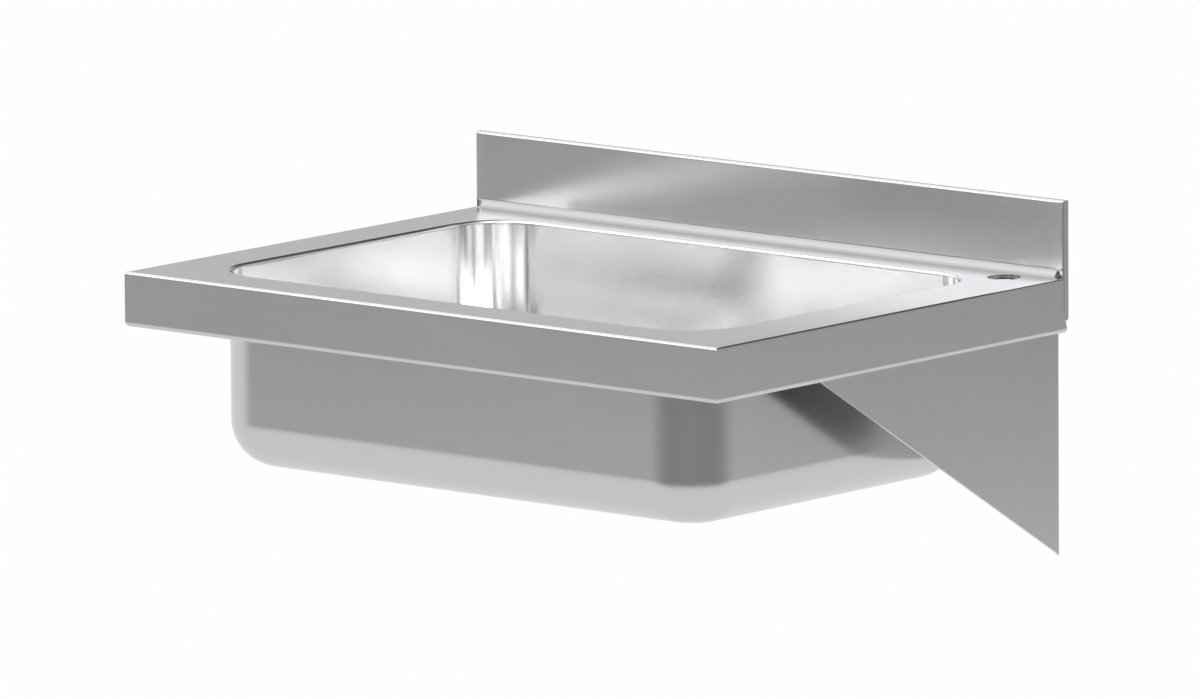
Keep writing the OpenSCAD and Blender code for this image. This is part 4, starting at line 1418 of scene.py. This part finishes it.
class SINK_OT_waste(bpy.types.Operator):
    """Build the threaded waste with its nut, seals and washer"""

    bl_idname = "sink.waste"
    bl_label = "Waste"

    def execute(self, context):
        sizes, look = context.scene.sink_waste, context.scene.sink_finishes
        make_waste(sizes, look)
        make_nut(sizes, look)
        plastic = moulded("washer plastic", (0.74, 0.72, 0.66), 0.45, 900.0, 0.02 * MM)
        rubber = moulded("seal rubber", (0.05, 0.05, 0.055), 0.6, 700.0, 0.03 * MM)
        make_seal(sizes, "waste_top_seal", 1.5 * MM, "slip_plastic", plastic)
        make_seal(sizes, "waste_bottom_seal", 0.05 * MM, "seal_rubber", rubber)
        make_seal(sizes, "waste_slip_washer", 0.05 * MM, "slip_plastic", plastic)
        return {"FINISHED"}


class SINK_OT_plug(bpy.types.Operator):
    """Build the rubber plug with its cap, rivet and bail"""

    bl_idname = "sink.plug"
    bl_label = "Plug"

    def execute(self, context):
        sizes, look = context.scene.sink_waste, context.scene.sink_finishes
        make_plug(sizes, look)
        make_cap(sizes, look)
        make_rivet(look)
        make_bail(sizes, look)
        return {"FINISHED"}


class SINK_OT_stage(bpy.types.Operator):
    """Set up floor, soft light, surroundings and camera"""

    bl_idname = "sink.stage"
    bl_label = "Studio"

    def execute(self, context):
        studio = context.scene.sink_studio
        make_floor(studio)
        make_world(studio)
        make_lights(studio)
        make_camera()
        return {"FINISHED"}


OPERATORS = (
    SINK_OT_deck,
    SINK_OT_upstand,
    SINK_OT_bowl,
    SINK_OT_brackets,
    SINK_OT_fittings,
    SINK_OT_waste,
    SINK_OT_plug,
    SINK_OT_stage,
)


class SINK_PT_panel(bpy.types.Panel):
    """Buttons for the sink's pieces and its studio"""

    bl_label = "Hand wash sink"
    bl_idname = "SINK_PT_panel"
    bl_space_type = "VIEW_3D"
    bl_region_type = "UI"
    bl_category = "Hand wash sink"

    def draw(self, context):
        for operator in OPERATORS:
            self.layout.operator(operator.bl_idname)


GROUPS = {
    "sink_sheet": SinkSheetSizes,
    "sink_bowl": SinkBowlSizes,
    "sink_bracket": SinkBracketSizes,
    "sink_waste": SinkWasteSizes,
    "sink_finishes": SinkFinishes,
    "sink_studio": StudioSettings,
}


def register():
    for made in (*GROUPS.values(), *OPERATORS, SINK_PT_panel):
        bpy.utils.register_class(made)
    for name, made in GROUPS.items():
        setattr(bpy.types.Scene, name, PointerProperty(type=made))


def unregister():
    for name in GROUPS:
        delattr(bpy.types.Scene, name)
    for made in reversed((*GROUPS.values(), *OPERATORS, SINK_PT_panel)):
        bpy.utils.unregister_class(made)


def main():
    register()
    scene = bpy.context.scene
    scene.view_settings.view_transform = "Standard"
    bpy.ops.sink.deck()
    bpy.ops.sink.upstand()
    bpy.ops.sink.bowl()
    bpy.ops.sink.brackets()
    bpy.ops.sink.fittings()
    bpy.ops.sink.waste()
    bpy.ops.sink.plug()
    bpy.ops.sink.stage()


if __name__ == "__main__":
    main()
